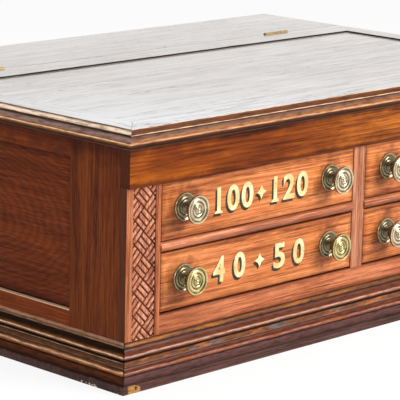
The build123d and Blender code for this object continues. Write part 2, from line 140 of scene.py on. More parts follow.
world = bpy.data.worlds.new("studio")
bpy.context.scene.world = world
world.use_nodes = True
tree = world.node_tree
tree.nodes.clear()
SWEEP_WAY = (0.68, 0.66, 0.30)  # from the cabinet towards the bright sweep behind it
room = node(tree, "Background", Color=(1, 1, 1, 1), Strength=0.30)
backdrop = node(tree, "Background", Color=(1, 1, 1, 1), Strength=1.0)
mirrored = node(tree, "Background", Color=(1, 1, 1, 1))
way = node(tree, "TexCoord").outputs["Generated"]
towards = node(tree, "VectorMath", operation="DOT_PRODUCT")
towards.inputs[1].default_value = SWEEP_WAY
glow = node(tree, "MapRange", interpolation_type="SMOOTHSTEP")
for name, value in (("From Min", 0.45), ("From Max", 0.9), ("To Min", 0.12), ("To Max", 1.1)):
    glow.inputs[name].default_value = value
rays = node(tree, "LightPath")
glossy_mix = node(tree, "MixShader")
camera_mix = node(tree, "MixShader")
output = node(tree, "OutputWorld")
tree.links.new(way, towards.inputs[0])
tree.links.new(towards.outputs["Value"], glow.inputs["Value"])
tree.links.new(glow.outputs[0], mirrored.inputs["Strength"])
tree.links.new(rays.outputs["Is Glossy Ray"], glossy_mix.inputs[0])
tree.links.new(room.outputs[0], glossy_mix.inputs[1])
tree.links.new(mirrored.outputs[0], glossy_mix.inputs[2])
tree.links.new(rays.outputs["Is Camera Ray"], camera_mix.inputs[0])
tree.links.new(glossy_mix.outputs[0], camera_mix.inputs[1])
tree.links.new(backdrop.outputs[0], camera_mix.inputs[2])
tree.links.new(camera_mix.outputs[0], output.inputs["Surface"])

softbox("key_light", (1.5, -3.2, 2.1), 1.8, 205)
softbox("left_light", (-3.4, -0.6, 1.6), 1.6, 30)
softbox("top_light", (0.3, 0.6, 3.2), 2.2, 60)
bpy.context.scene.view_settings.view_transform = "Standard"

# %% [markdown]
# ## Old varnished wood
# A board's colour runs along its grain: fine fibres, wider bands where the growth rings
# are cut, short dark pores, and broad patches where the stain has aged unevenly. Each is
# a noise stretched along the grain. The noises read Object coordinates in metres, so the
# pattern keeps its real scale on every board. A clear coat over it is the varnish.

# %% [markdown]
# A material is a graph of nodes, and a pattern is a sum over their outputs. Written link by
# link, such a sum takes a page. Here an output is wrapped as a Value, so that plain + - * /
# make the Math nodes, and a mask reads like the formula that it is.

# %% Values and Math nodes
class Value:
    """What nodes work out at each point, a number or a colour. Its sums make Math nodes."""

    def __init__(self, tree, socket):
        self.tree = tree
        self.socket = socket

    def __add__(self, other):
        return math_node("ADD", self, other)

    def __sub__(self, other):
        return math_node("SUBTRACT", self, other)

    def __rsub__(self, other):
        return math_node("SUBTRACT", other, self)

    def __mul__(self, other):
        return math_node("MULTIPLY", self, other)

    def __truediv__(self, other):
        return math_node("DIVIDE", self, other)

    def __abs__(self):
        return math_node("ABSOLUTE", self)


def feed(value, socket):
    """Gives a socket a Value, a plain number or a plain colour."""
    if isinstance(value, Value):
        value.tree.links.new(value.socket, socket)
    else:
        socket.default_value = (*value, 1) if isinstance(value, tuple) else value


def math_node(operation, a, b=0.0):
    """One Math node over two inputs, of which at least one is a Value."""
    tree = (a if isinstance(a, Value) else b).tree
    made = node(tree, "Math", operation=operation)
    feed(a, made.inputs[0])
    feed(b, made.inputs[1])
    return Value(tree, made.outputs[0])

# %% The point that a material looks at
class Point:
    """The point's x, y and z in metres, in Object coordinates, and noises over them."""

    def __init__(self, tree):
        self.tree = tree
        self.place = node(tree, "TexCoord").outputs["Object"]
        split = node(tree, "SeparateXYZ")
        tree.links.new(self.place, split.inputs[0])
        self.axes = {axis: Value(tree, split.outputs[axis.upper()]) for axis in "xyz"}
        self.x, self.y, self.z = self.axes.values()

    def noise(self, along, across, grain, seed, detail=4.0, distortion=0.0):
        """Noise whose grains are 1/across wide and 1/along long, in metres, along one axis."""
        scale = [across] * 3
        scale["xyz".index(grain)] = along
        shift = (seed * 3.7, seed * 5.3, seed * 7.9)
        mapping = node(self.tree, "Mapping", Scale=tuple(scale), Location=shift)
        self.tree.links.new(self.place, mapping.inputs["Vector"])
        made = node(
            self.tree, "TexNoise", Scale=1.0, Detail=detail, Roughness=0.55, Distortion=distortion
        )
        self.tree.links.new(mapping.outputs[0], made.inputs["Vector"])
        return Value(self.tree, made.outputs["Fac"])

# %% Colours
BLACK = (0, 0, 0)
WHITE = (1, 1, 1)


def ramp(value, stops):
    """Colour ramp over (position, colour) stops."""
    made = node(value.tree, "ValToRGB")
    points = made.color_ramp.elements
    while len(points) < len(stops):
        points.new(0.5)
    for point, (position, colour) in zip(points, stops):
        point.position = position
        point.color = (*colour, 1)
    feed(value, made.inputs[0])
    return Value(value.tree, made.outputs[0])


def step(value, black, white):
    """0 on one side and 1 on the other, with a straight ramp from black to white."""
    return ramp(value, sorted([(black, BLACK), (white, WHITE)]))


def blend(how, share, a, b):
    """Two colours mixed, each a Value or a plain colour."""
    tree = next(v.tree for v in (share, a, b) if isinstance(v, Value))
    made = node(tree, "Mix", data_type="RGBA", blend_type=how)
    for value, socket in zip((share, a, b), (made.inputs[0], made.inputs[6], made.inputs[7])):
        feed(value, socket)
    return Value(tree, made.outputs[2])


def mix(share, a, b):
    return blend("MIX", share, a, b)


def multiply(share, a, b):
    return blend("MULTIPLY", share, a, b)


def fade(value, start, end):
    """1 up to start, 0 from end on, smooth between them. It runs the other way if end < start."""
    limits = (start, end, 1.0, 0.0) if start <= end else (end, start, 0.0, 1.0)
    made = node(value.tree, "MapRange", interpolation_type="SMOOTHSTEP")
    for name, limit in zip(("From Min", "From Max", "To Min", "To Max"), limits):
        made.inputs[name].default_value = limit
    feed(value, made.inputs["Value"])
    return Value(value.tree, made.outputs[0])


def surface(output, colour, height, strength, depth, **values):
    """A Principled shader whose bump follows a height; values are those of its sockets."""
    tree = colour.tree
    shader = node(tree, "BsdfPrincipled", **values)
    bump = node(tree, "Bump", Strength=strength, Distance=depth)
    feed(height, bump.inputs["Height"])
    feed(colour, shader.inputs["Base Color"])
    tree.links.new(bump.outputs[0], shader.inputs["Normal"])
    tree.links.new(shader.outputs[0], output.inputs["Surface"])
    return shader

# %% [markdown]
# The wood is one function, because every board shares the same layers and only the
# tones, the grain's direction and the finish differ. Broad bands pick the tone, fibres
# and pores break it up, pale threads are painted glints of glare, and a patchy stain
# darkens it. The bump follows the pores. What only one board has, such as dirt or painted
# shade along its edges, is painted over by small functions.

# %% Varnished wood
# Dark tone for dirt, and for painted shade where the same darkening stands in for shade.
DIRT_AND_SHADE = (0.26, 0.15, 0.10)
PORE = (0.30, 0.20, 0.15)
LATE_WOOD = (0.45, 0.34, 0.28)  # the dark part of a growth ring
STAIN = (0.40, 0.26, 0.18)


def stained_wood(name, grain, tones, seed, figure=60.0, fibre=620.0, stain=0.35,
                 stain_size=7.0, pores=0.6, roughness=0.36, coat=0.05, coat_roughness=0.16,
                 specular=0.12, shiny_above=None, glints=0.45, paint=()):
    """Varnished wood. tones are dark, middle and light; paint lists what is painted over it.
    The coat lies only above the height shiny_above, if there is one, as on the polished top."""
    material, tree, output = new_material(name)
    at = Point(tree)
    dark, middle, light = tones
    bands = at.noise(figure / 22, figure, grain, seed, 3.0, 0.6)
    veins = at.noise(fibre / 90, fibre * 0.4, grain, seed + 4, 3.0, 0.3)
    fibres = at.noise(fibre / 45, fibre, grain, seed + 1, 3.0)
    tone = bands * 0.26 + veins * 0.34 + fibres * 0.40
    colour = ramp(tone, [(0.41, dark), (0.5, middle), (0.585, light)])
    # Pale threads along the grain, as strong as glints says, are painted glints of glare.
    glint_threads = at.noise(55, 1100, grain, seed + 5, 2.0)
    pale = tuple(min(1.0, 1.25 * v + 0.02) for v in light)
    colour = mix(step(glint_threads, 0.57, 0.66) * glints, colour, pale)
    pits = step(at.noise(28, 800, grain, seed + 2, 2.0), 0.40, 0.33)
    colour = multiply(pits * pores, colour, PORE)
    patches = at.noise(stain_size * 0.6, stain_size * 1.6, grain, seed + 3, 5.0, 0.8)
    colour = multiply(step(patches, 0.58, 0.42) * stain, colour, STAIN)
    for layer in paint:
        colour = layer(at, colour)
    shader = surface(output, colour, fibres * 0.5 - pits * 0.5, 0.3, 0.2 * MM, **{
        "Roughness": roughness, "Coat Weight": coat, "Coat Roughness": coat_roughness,
        "Specular IOR Level": specular,
    })
    if shiny_above:
        shiny = fade(at.z, shiny_above + 0.3 * MM, shiny_above)
        feed(shiny * coat, shader.inputs["Coat Weight"])
    return material


def finish_nodes(material, *names):
    """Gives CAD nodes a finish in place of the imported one."""
    for name in names:
        for slot in nodes[name].material_slots:
            slot.material = material


def in_wood(boards, name, grain, tones, seed, **look):
    """Finishes CAD boards with a wood of their own."""
    finish_nodes(stained_wood(name, grain, tones, seed, **look), *boards)
    print(name, "on", ", ".join(boards))

# %% [markdown]
# Age and shade are painted by place. Dirt and old varnish gather towards a board's edges and
# round the knobs, and the same darkening also stands in as painted shade: under the lid, along
# the sunk side panels and round the knobs. A mask is a distance turned into 0 to 1, and a noise
# makes its border ragged, so that it doesn't look ruled.

# %% Ragged borders
def ragged(at, size, seed):
    """Noise round 1 that makes a mask's border uneven; size is its grains per metre."""
    return at.noise(size, size, "x", seed, 4.0) * 2.4 - 0.2


def distance(across, up):
    """Length of a step across and up."""
    return math_node("SQRT", across * across + up * up)

# %% Layers of age and painted shade
def edge_dirt_and_shade(low, high, axes, width, strength, seed=1.7):
    """Darkens towards a board's edges along the named axes, about width wide: dirt on some boards,
    painted shade on others.
    """
    def layer(at, colour):
        nearest = None
        for axis in axes:
            here, number = at.axes[axis], "xyz".index(axis)
            for gap in (here - low[number], high[number] - here):
                nearest = gap if nearest is None else math_node("MINIMUM", nearest, gap)
        reach = nearest / ragged(at, 55, seed)
        share = fade(reach, 0.0, width) * strength
        return multiply(share, colour, DIRT_AND_SHADE)
    return layer


def halos_of_dirt_and_shade(centres, inner, outer, strength):
    """Dirt left by fingers and polish round points (x, z) of the front, with painted shade of the
    knobs in it.
    """
    def layer(at, colour):
        for number, (x, z) in enumerate(centres):
            reach = distance(at.x - x, at.z - z) / ragged(at, 70, 2.3 + number)
            share = fade(reach, inner, outer) * strength
            colour = multiply(share, colour, DIRT_AND_SHADE)
        return colour
    return layer


def painted_light_by_height(low, high, stops):
    """Multiplies by a tone that changes from the bottom to the top of a piece, as painted highlight
    and shade.
    """
    def layer(at, colour):
        return multiply(1.0, colour, ramp((at.z - low) / (high - low), stops))
    return layer


def growth_rings(axis, centre, stretch, pitch, strength, seed=4.1):
    """Arcs of a flat-sawn board round a point (along, up) of its face, longer along the axis."""
    def layer(at, colour):
        along = (at.axes[axis] - centre[0]) / stretch
        wobble = at.noise(9, 24, axis, seed, 3.0)
        reach = distance(along, at.z - centre[1]) + wobble * 0.022
        wave = math_node("SINE", reach * (2 * math.pi / pitch))
        share = (wave * 0.5 + 0.5) * strength
        return multiply(share, colour, LATE_WOOD)
    return layer

# %% [markdown]
# ## Tones
# The front is lit and its varnish is orange to red brown. The side frames were stained
# darker. The top is bleached and worn pale. Inside, the wood was never stained.

# %% Tones of the woods
FRONT_TONES = ((0.27, 0.070, 0.018), (0.56, 0.172, 0.047), (0.74, 0.280, 0.098))
RAIL_TONES = ((0.20, 0.048, 0.017), (0.39, 0.112, 0.040), (0.53, 0.185, 0.078))
UPRIGHT_TONES = ((0.24, 0.078, 0.038), (0.46, 0.183, 0.092), (0.58, 0.270, 0.152))
FRIEZE_TONES = ((0.11, 0.026, 0.003), (0.29, 0.076, 0.006), (0.42, 0.128, 0.014))
PILASTER_TONES = ((0.20, 0.052, 0.018), (0.36, 0.114, 0.043), (0.49, 0.185, 0.082))
CARVED_TONES = ((0.24, 0.066, 0.028), (0.44, 0.148, 0.070), (0.62, 0.260, 0.150))
STILE_TONES = ((0.070, 0.013, 0.002), (0.135, 0.026, 0.003), (0.205, 0.046, 0.006))
PANEL_TONES = ((0.115, 0.020, 0.002), (0.180, 0.034, 0.004), (0.250, 0.052, 0.006))
BACK_TONES = ((0.16, 0.080, 0.040), (0.28, 0.150, 0.075), (0.38, 0.220, 0.120))
INSIDE_TONES = ((0.36, 0.220, 0.120), (0.52, 0.350, 0.200), (0.64, 0.460, 0.290))
END_GRAIN = (0.055, 0.010, 0.001)

# %% Measures that the paint follows
front_face_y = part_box("centre_divider")[0].y
base_top_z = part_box("base_front_moulding")[1].z
frieze_low, frieze_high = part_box("frieze_board")
flat_side_x = frieze_high.x - 0.3 * MM  # past this, the faces that look sideways
print("face of the drawers at y", round(front_face_y / MM, 1))
print("frieze from z", round(frieze_low.z / MM, 1))

# %% [markdown]
# The front is a wide frieze board over a frame of rails and uprights round the drawers.
# Each board gets its own seed, so that no two show the same grain. The rounded rail
# between the drawers has a painted highlight where it bulges and painted shade below it,
# so its tone follows its height.

# %% Front
def dark_sides(at, colour):
    """The narrow faces that look sideways took more stain."""
    past = fade(abs(at.x), flat_side_x + 0.1 * MM, flat_side_x - 0.1 * MM)
    return mix(past * 0.9, colour, END_GRAIN)


def redder_left(at, colour):
    """The frieze board is a deeper orange towards its left end."""
    return multiply(fade(at.x, -0.20, 0.05), colour, (0.76, 0.60, 0.30))


frieze_paint = [
    redder_left,
    edge_dirt_and_shade(frieze_low, frieze_high, "z", 9 * MM, 0.75),
    dark_sides,
]
in_wood(
    ["frieze_board"], "frieze_wood", "x", FRIEZE_TONES, 3, stain=0.65, stain_size=16, glints=0.25,
    coat=0.02, specular=0.08, paint=frieze_paint,
)

rail_low, rail_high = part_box("mid_rails")
# Painted highlight on the rail's upper half and painted shade on its lower half.
rail_painted_highlight = [
    (0.0, (0.25, 0.18, 0.15)), (0.2, (0.55, 0.45, 0.38)), (0.4, (0.95, 0.90, 0.85)),
    (0.62, (1.35, 1.5, 1.6)), (0.78, (1.5, 1.9, 2.3)), (0.92, WHITE), (1.0, (0.5, 0.4, 0.35)),
]
mid_rail_paint = [painted_light_by_height(rail_low.z, rail_high.z, rail_painted_highlight)]
in_wood(["mid_rails"], "mid_rail_wood", "x", RAIL_TONES, 5, coat=0.6, paint=mid_rail_paint)

bottom_low, bottom_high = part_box("bottom_rail")
bottom_low.z = base_top_z
bottom_paint = [edge_dirt_and_shade(bottom_low, bottom_high, "z", 4 * MM, 0.7)]
in_wood(["bottom_rail"], "bottom_rail_wood", "x", RAIL_TONES, 6, stain=0.5, paint=bottom_paint)
in_wood(["centre_divider"], "upright_wood", "z", UPRIGHT_TONES, 7)
strip_low, strip_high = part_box("front_edge_strips")
strip_paint = [
    edge_dirt_and_shade(strip_low, strip_high, "x", 5 * MM, 0.8),
    edge_dirt_and_shade(strip_low, strip_high, "x", 2.4 * MM, 1.0, 3.3),
]
in_wood(["front_edge_strips"], "strip_wood", "z", RAIL_TONES, 8, paint=strip_paint)

# %% [markdown]
# Each side is a frame round a sunk panel, in a dark, dull stain. The stiles' grain stands
# and the rails' lies, as the boards were cut. Arcs of growth rings run over the panel, and
# the sharp edge of the lower rail is a pale line, rubbed through to pale wood and with a
# painted highlight on it. The frame is darker towards its top and bottom, as painted shade of
# the lid at the top, and the panel is darker along the frame, with a painted shadow line at
# its edges.

# %% Sides
PANEL_TONGUE = 6.0 * MM  # hidden in the groove of the frame


def worn_arris_highlight(height, width, tone):
    """A pale line just under a height along a sharp edge: wood rubbed through, and a painted
    highlight.
    """
    def layer(at, colour):
        line = fade(at.z, height + 0.1 * MM, height + 0.2 * MM)
        line = line * fade(at.z, height - width, height - 1.5 * width)
        gaps = at.noise(30, 200, "y", 2.2, 3.0)
        return mix(line * fade(gaps, 0.60, 0.72), colour, tone)
    return layer


side_look = dict(
    roughness=0.40, coat=0.02, specular=0.06, stain=0.4, glints=0.4, figure=80, fibre=760
)
for side, seed in (("left", 11), ("right", 21)):
    panel_low, panel_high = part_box(side + "_side_panel")
    ring_y = panel_low.y + 0.62 * (panel_high.y - panel_low.y)
    ring_centre = (ring_y, (panel_low.z + panel_high.z) / 2)
    seen_low = panel_low + Vector((0, PANEL_TONGUE, PANEL_TONGUE))
    seen_high = panel_high - Vector((0, PANEL_TONGUE, PANEL_TONGUE))
    panel_paint = [
        growth_rings("y", ring_centre, 2.6, 5.5 * MM, 0.42),
        # darker towards the panel's edges, and a painted shadow line along them under the frame
        edge_dirt_and_shade(seen_low, seen_high, "yz", 14 * MM, 0.5),
        edge_dirt_and_shade(seen_low, seen_high, "yz", 3 * MM, 0.8, 3.1),
    ]
    frame_low, frame_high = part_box(side + "_front_stile")
    # Painted shade: the frame is darker towards its ends, the top standing in the lid's shadow.
    frame_shade_paint = [edge_dirt_and_shade(frame_low, frame_high, "z", 34 * MM, 0.75)]
    # The lower rail's top edge gets a pale line, worn wood with a painted highlight.
    rail_paint = [*frame_shade_paint, worn_arris_highlight(seen_low.z, 0.75 * MM, (0.85, 0.56, 0.36))]
    in_wood(
        [side + "_front_stile", side + "_rear_stile"], side + "_stile_wood", "z", STILE_TONES,
        seed, paint=frame_shade_paint, **side_look,
    )
    in_wood(
        [side + "_side_rails"], side + "_rail_wood", "y", PANEL_TONES, seed + 1, paint=rail_paint,
        **side_look,
    )
    in_wood(
        [side + "_side_panel"], side + "_panel_wood", "y", PANEL_TONES, seed + 2,
        paint=panel_paint, **side_look,
    )

# %% [markdown]
# The back was stained thinly and never polished. Inside, the wood is bare and dull, and its
# grain runs along the boards: from side to side in the floors and drawer backs, and from
# front to back in the drawer sides and their guides.

# %% Back and inside
DRAWERS = ["upper_left_drawer", "upper_right_drawer", "lower_left_drawer", "lower_right_drawer"]
floors = ["dust_boards", "compartment_floor", "bottom_board", "drawer_stops"]
cross_boards = [drawer + end for drawer in DRAWERS for end in ("_back", "_bottom")]

in_wood(["back_rails", "back_panels"], "back_wood", "x", BACK_TONES, 31, coat=0.0, roughness=0.6)
for name, grain, seed, stain, boards in (
    ("inside_wood", "x", 33, 0.25, floors),
    ("runner_wood", "y", 35, 0.25, ["inner_sides", "centre_partition"]),
    ("drawer_box_wood", "y", 61, 0.20, [drawer + "_sides" for drawer in DRAWERS]),
    ("drawer_cross_wood", "x", 63, 0.20, cross_boards),
):
    in_wood(boards, name, grain, INSIDE_TONES, seed, coat=0.0, roughness=0.7, stain=stain)

# %% [markdown]
# The drawer fronts are the brightest wood. Dirt sits along their edges, and in a dark halo
# round each knob, where fingers reached and the polishing cloth didn't. The halo also holds
# painted shade of the knob.

# %% Drawer fronts
def knob_centres(drawer):
    """Where a drawer's two knobs stand on its front, as (x, z)."""
    low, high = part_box(drawer + "_knobs")
    radius = (high.z - low.z) / 2
    return [(x, (low.z + high.z) / 2) for x in (low.x + radius, high.x - radius)]


for number, drawer in enumerate(DRAWERS):
    low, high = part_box(drawer + "_front")
    face_paint = [
        edge_dirt_and_shade(low, high, "xz", 9 * MM, 0.5, 1.7 + number),
        # dirt round each knob, with painted shade of the knob
        halos_of_dirt_and_shade(knob_centres(drawer), 14 * MM, 32 * MM, 0.55),
    ]
    in_wood(
        [drawer + "_front"], drawer + "_front_wood", "x", FRONT_TONES, 71 + 4 * number,
        paint=face_paint,
    )

# %% [markdown]
# ## Mouldings
# A hand polishes what stands out and leaves the hollows dark. So each member of a
# moulding has its own tone by its height: pale arrises and beads, partly worn and partly
# painted highlights, dark quirks and a dark foot, partly painted shade, and patches of
# bare orange wood or grey dirt on the flat members. The heights are those of the profile,
# as shares from its top down. The noise along the run breaks the bands up.

# %% Bands by height, with painted highlights and shade
WEAR = [(0.35, (0.55, 0.50, 0.48)), (0.50, WHITE), (0.65, (1.25, 1.25, 1.25))]


def moulding_bands_and_light(top, height, stops, patches=(), starts_below=0.0, grain="x"):
    """Tones from the top of a moulding down, with its painted highlights and shade. patches are
    (from, to, tone, seed) shares.
    """
    def layer(at, colour):
        ripple = at.noise(25, 60, grain, 6.1, 3.0)
        share = (top + height * 0.02 - at.z - ripple * (height * 0.04)) / height
        tone = ramp(share, stops)
        for low, high, patch_tone, seed in patches:
            noise = at.noise(14, 60, grain, seed, 5.0)
            mask = fade(share, low + 0.01, low - 0.01) * fade(share, high - 0.01, high + 0.01)
            tone = mix(mask * fade(noise, 0.60, 0.54), tone, patch_tone)
        tone = multiply(1.0, tone, ramp(at.noise(70, 420, grain, 8.3, 4.0), WEAR))
        below = 1.0
        if starts_below:
            below = fade(at.z, top - starts_below, top - starts_below * 0.4)
        return mix(below, colour, tone)
    return layer

# %% Joint of two mitred runs
def mitre_line(corner_x, corner_y, half_width, tone):
    """The joint of front and side runs, at 45 degrees from the corners (+-corner_x, corner_y)."""
    def layer(at, colour):
        off_line = abs(corner_x - abs(at.x) - (at.y - corner_y))
        return multiply(fade(off_line, half_width, 1.8 * half_width), colour, tone)
    return layer

# %% Tones of the base moulding, with painted highlights and shade
BASE_PATCHES = [
    (0.02, 0.10, (0.26, 0.085, 0.012), 1.3), (0.43, 0.55, (0.36, 0.110, 0.020), 2.9),
    (0.43, 0.55, (0.12, 0.090, 0.085), 5.6), (0.67, 0.76, (0.26, 0.075, 0.020), 7.7),
]
# Bright stops are painted highlights on arrises and beads, and the darkest stops painted shade in
# the quirks.
BASE_FRONT_SHADING_BANDS = [
    (0.00, (0.03, 0.010, 0.005)), (0.03, (0.16, 0.055, 0.012)), (0.09, (0.12, 0.038, 0.010)),
    (0.105, (0.14, 0.050, 0.018)), (0.118, (0.015, 0.006, 0.003)), (0.14, (0.05, 0.014, 0.007)),
    (0.20, (0.11, 0.028, 0.012)), (0.25, (0.12, 0.030, 0.013)), (0.28, (0.16, 0.055, 0.030)),
    (0.30, (0.46, 0.26, 0.19)), (0.32, (0.34, 0.17, 0.12)), (0.345, (0.14, 0.045, 0.020)),
    (0.40, (0.05, 0.016, 0.008)), (0.415, (0.015, 0.006, 0.003)), (0.44, (0.15, 0.050, 0.018)),
    (0.54, (0.13, 0.045, 0.018)), (0.556, (0.26, 0.13, 0.075)), (0.57, (0.025, 0.008, 0.004)),
    (0.61, (0.11, 0.025, 0.010)), (0.66, (0.13, 0.032, 0.014)), (0.69, (0.34, 0.15, 0.10)),
    (0.71, (0.22, 0.075, 0.045)), (0.77, (0.08, 0.020, 0.010)), (0.785, (0.015, 0.006, 0.004)),
    (0.81, (0.095, 0.040, 0.036)), (0.90, (0.085, 0.030, 0.024)), (0.975, (0.05, 0.018, 0.014)),
    (1.0, (0.02, 0.008, 0.006)),
]
BASE_SIDE_SHADING_BANDS = [
    (0.00, (0.50, 0.30, 0.19)), (0.05, (0.30, 0.15, 0.08)), (0.075, (0.10, 0.038, 0.014)),
    (0.095, (0.36, 0.19, 0.11)), (0.115, (0.22, 0.10, 0.05)), (0.13, (0.02, 0.008, 0.003)),
    (0.24, (0.025, 0.010, 0.004)), (0.265, (0.12, 0.042, 0.012)), (0.29, (0.26, 0.115, 0.045)),
    (0.315, (0.95, 0.66, 0.46)), (0.335, (0.24, 0.095, 0.032)), (0.37, (0.14, 0.046, 0.012)),
    (0.41, (0.02, 0.007, 0.003)), (0.44, (0.04, 0.015, 0.006)), (0.455, (0.45, 0.28, 0.17)),
    (0.47, (0.03, 0.010, 0.004)), (0.52, (0.11, 0.038, 0.011)), (0.58, (0.11, 0.038, 0.011)),
    (0.60, (0.28, 0.15, 0.08)), (0.615, (0.05, 0.018, 0.006)), (0.655, (0.21, 0.085, 0.030)),
    (0.675, (1.0, 0.60, 0.37)), (0.70, (0.34, 0.13, 0.040)), (0.75, (0.18, 0.056, 0.012)),
    (0.79, (0.03, 0.010, 0.004)), (0.83, (0.11, 0.030, 0.009)), (0.92, (0.07, 0.018, 0.006)),
    (1.0, (0.02, 0.006, 0.003)),
]

# %% [markdown]
# The front run of the base is darker and redder than the side runs, whose beads carry bright
# painted highlights. The plinth strips under them are nearly black, with one knocked corner of
# bare wood and a few pale scuffs at the foot.

# %% Base
base_low, base_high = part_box("base_front_moulding")
base_height = base_high.z - base_low.z
base_look = dict(stain=0.5, coat=0.15, coat_roughness=0.2, roughness=0.4)
front_shading_bands = moulding_bands_and_light(base_high.z, base_height, BASE_FRONT_SHADING_BANDS, BASE_PATCHES)
corner_line = mitre_line(-base_low.x, base_low.y, 0.9 * MM, (0.25, 0.18, 0.15))
in_wood(
    ["base_front_moulding"], "base_front_wood", "x", FRONT_TONES, 41,
    paint=[front_shading_bands, corner_line], **base_look,
)
side_shading_bands = moulding_bands_and_light(base_high.z, base_height, BASE_SIDE_SHADING_BANDS, (), 0.0, "y")
in_wood(
    ["base_side_mouldings"], "base_side_wood", "y", PANEL_TONES, 43, coat=0.05, specular=0.06,
    paint=[side_shading_bands, corner_line],
)

# %% Plinth
PLINTH_TONES = ((0.035, 0.016, 0.013), (0.075, 0.032, 0.024), (0.13, 0.052, 0.038))
BARE_WOOD = (0.40, 0.19, 0.05)
SCUFF = (0.75, 0.68, 0.60)
plinth_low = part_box("plinth_strips")[0]


def knocked_corner(at, colour):
    """Bare wood where the plinth's front was knocked, near its left corner."""
    from_corner = at.x - plinth_low.x
    on_front = fade(at.y, plinth_low.y + 0.4 * MM, plinth_low.y + 1.2 * MM)
    mask = on_front * fade(from_corner / ragged(at, 120, 9.4), 22 * MM, 26 * MM)
    mask = mask * fade(from_corner, 9 * MM, 6 * MM)
    streaks = at.noise(60, 420, "x", 3.9, 3.0)
    return mix(mask * fade(streaks, 0.50, 0.62), colour, BARE_WOOD)


def scuffs(at, colour):
    """Pale scuffs at the foot of the plinth's left side, near the corner."""
    near = fade(at.y, plinth_low.y + 60 * MM, plinth_low.y + 100 * MM)
    on_side = fade(at.x, plinth_low.x + 0.4 * MM, plinth_low.x + 1.2 * MM)
    spots = at.noise(150, 150, "x", 7.2, 3.0)
    low_down = fade(at.z, 2.0 * MM, 3.5 * MM)
    return mix(fade(spots, 0.60, 0.56) * low_down * near * on_side, colour, SCUFF)


in_wood(
    ["plinth_strips"], "plinth_wood", "x", PLINTH_TONES, 45, stain=0.6,
    paint=[knocked_corner, scuffs],
)

# %% [markdown]
# ## Top
# The top's varnish is worn to a pale film that mirrors the bright sweep, and a painted
# reflection whitens it towards the near left corner. Thin dark streaks follow the grain. The
# moulded edge under it stayed brown, with painted highlights on its arrises and painted shade
# in its quirks and under it. Where two rails of the border meet in a mitre, the joint shows
# as a fine dark line.

# %% Tones of the top
TOP_TONES = ((0.19, 0.158, 0.136), (0.29, 0.253, 0.226), (0.36, 0.330, 0.305))
TOP_STREAK = (0.08, 0.055, 0.04)
# Painted reflection of the white sweep on the top.
PAINTED_REFLECTION = (0.50, 0.515, 0.53)
# Painted shade in the joints and at the step down to the panel.
PAINTED_JOINT_SHADE = (0.022, 0.012, 0.009)
UNPOLISHED = [(0.38, (0.13, 0.060, 0.028)), (0.62, (0.27, 0.14, 0.070))]
UNSTAINED = [(0.38, (0.20, 0.100, 0.045)), (0.62, (0.36, 0.20, 0.100))]
# The lid edge's bright stops are painted highlights on its arrises and ovolo, and the dark stops at
# its foot painted shade under the lid.
LID_FRONT_SHADING_BANDS = [
    (0.000, (0.85, 0.66, 0.48)), (0.025, (0.62, 0.40, 0.25)), (0.05, (0.13, 0.040, 0.011)),
    (0.12, (0.10, 0.027, 0.007)), (0.225, (0.07, 0.019, 0.005)), (0.245, (0.35, 0.18, 0.08)),
    (0.26, (0.70, 0.46, 0.28)), (0.285, (0.66, 0.42, 0.25)), (0.305, (0.12, 0.050, 0.022)),
    (0.325, (0.04, 0.020, 0.012)), (0.36, (0.12, 0.062, 0.045)), (0.45, (0.14, 0.065, 0.040)),
    (0.51, (0.23, 0.085, 0.024)), (0.60, (0.25, 0.090, 0.024)), (0.64, (0.40, 0.20, 0.11)),
    (0.66, (0.56, 0.30, 0.17)), (0.69, (0.40, 0.19, 0.09)), (0.72, (0.10, 0.030, 0.008)),
    (0.80, (0.05, 0.013, 0.003)), (1.0, (0.02, 0.006, 0.002)),
]
LID_SIDE_SHADING_BANDS = [
    (0.000, (0.60, 0.50, 0.40)), (0.02, (0.16, 0.11, 0.075)), (0.06, (0.20, 0.13, 0.085)),
    (0.09, (0.75, 0.53, 0.38)), (0.14, (1.00, 0.80, 0.62)), (0.22, (0.74, 0.52, 0.36)),
    (0.25, (0.08, 0.040, 0.018)), (0.32, (0.04, 0.020, 0.010)), (0.36, (0.15, 0.090, 0.070)),
    (0.45, (0.32, 0.205, 0.175)), (0.56, (0.30, 0.17, 0.125)), (0.63, (0.22, 0.10, 0.055)),
    (0.65, (1.00, 0.64, 0.40)), (0.68, (0.85, 0.48, 0.24)), (0.70, (0.42, 0.18, 0.04)),
    (0.76, (0.17, 0.055, 0.010)), (0.82, (0.06, 0.015, 0.003)), (1.0, (0.012, 0.004, 0.002)),
]

# %% Layers of the top
lid_low, lid_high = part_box("lid_front_rail")
rear_low, rear_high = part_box("rear_top_board")
flat_high_x = -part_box("lid_rear_rail")[0].x
panel_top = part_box("lid_panel")[1].z
flat_front_y = lid_low.y + lid_high.x - flat_high_x
lid_thick = lid_high.z - lid_low.z
print("flat top to x", round(flat_high_x / MM, 1), "lid", round(lid_thick / MM, 1), "thick")


def joint_and_step_shade(at, colour):
    """The faces in the joints and the small step down to the panel are nearly black: painted shade
    in these narrow gaps.
    """
    inside = fade(abs(at.x), flat_high_x - 2 * MM, flat_high_x - 1 * MM)
    behind = fade(at.y, flat_front_y + 2 * MM, flat_front_y + 1 * MM)
    before = fade(at.y, rear_low.y + 2 * MM, rear_low.y + 3 * MM)
    below = fade(at.z, lid_high.z - 0.5 * MM, lid_high.z - 0.2 * MM)
    return mix(inside * behind * below * before, colour, PAINTED_JOINT_SHADE)


def unpolished(grain):
    """The underside and the back edge of the top never had a polish."""
    def layer(at, colour):
        bare = ramp(at.noise(9, 260, grain, 20.3), UNPOLISHED)
        under = fade(at.z, lid_low.z + 0.2 * MM, lid_low.z + 0.5 * MM)
        back = fade(at.y, rear_high.y - 0.2 * MM, rear_high.y - 0.4 * MM)
        return mix(math_node("MAXIMUM", under, back), colour, bare)
    return layer


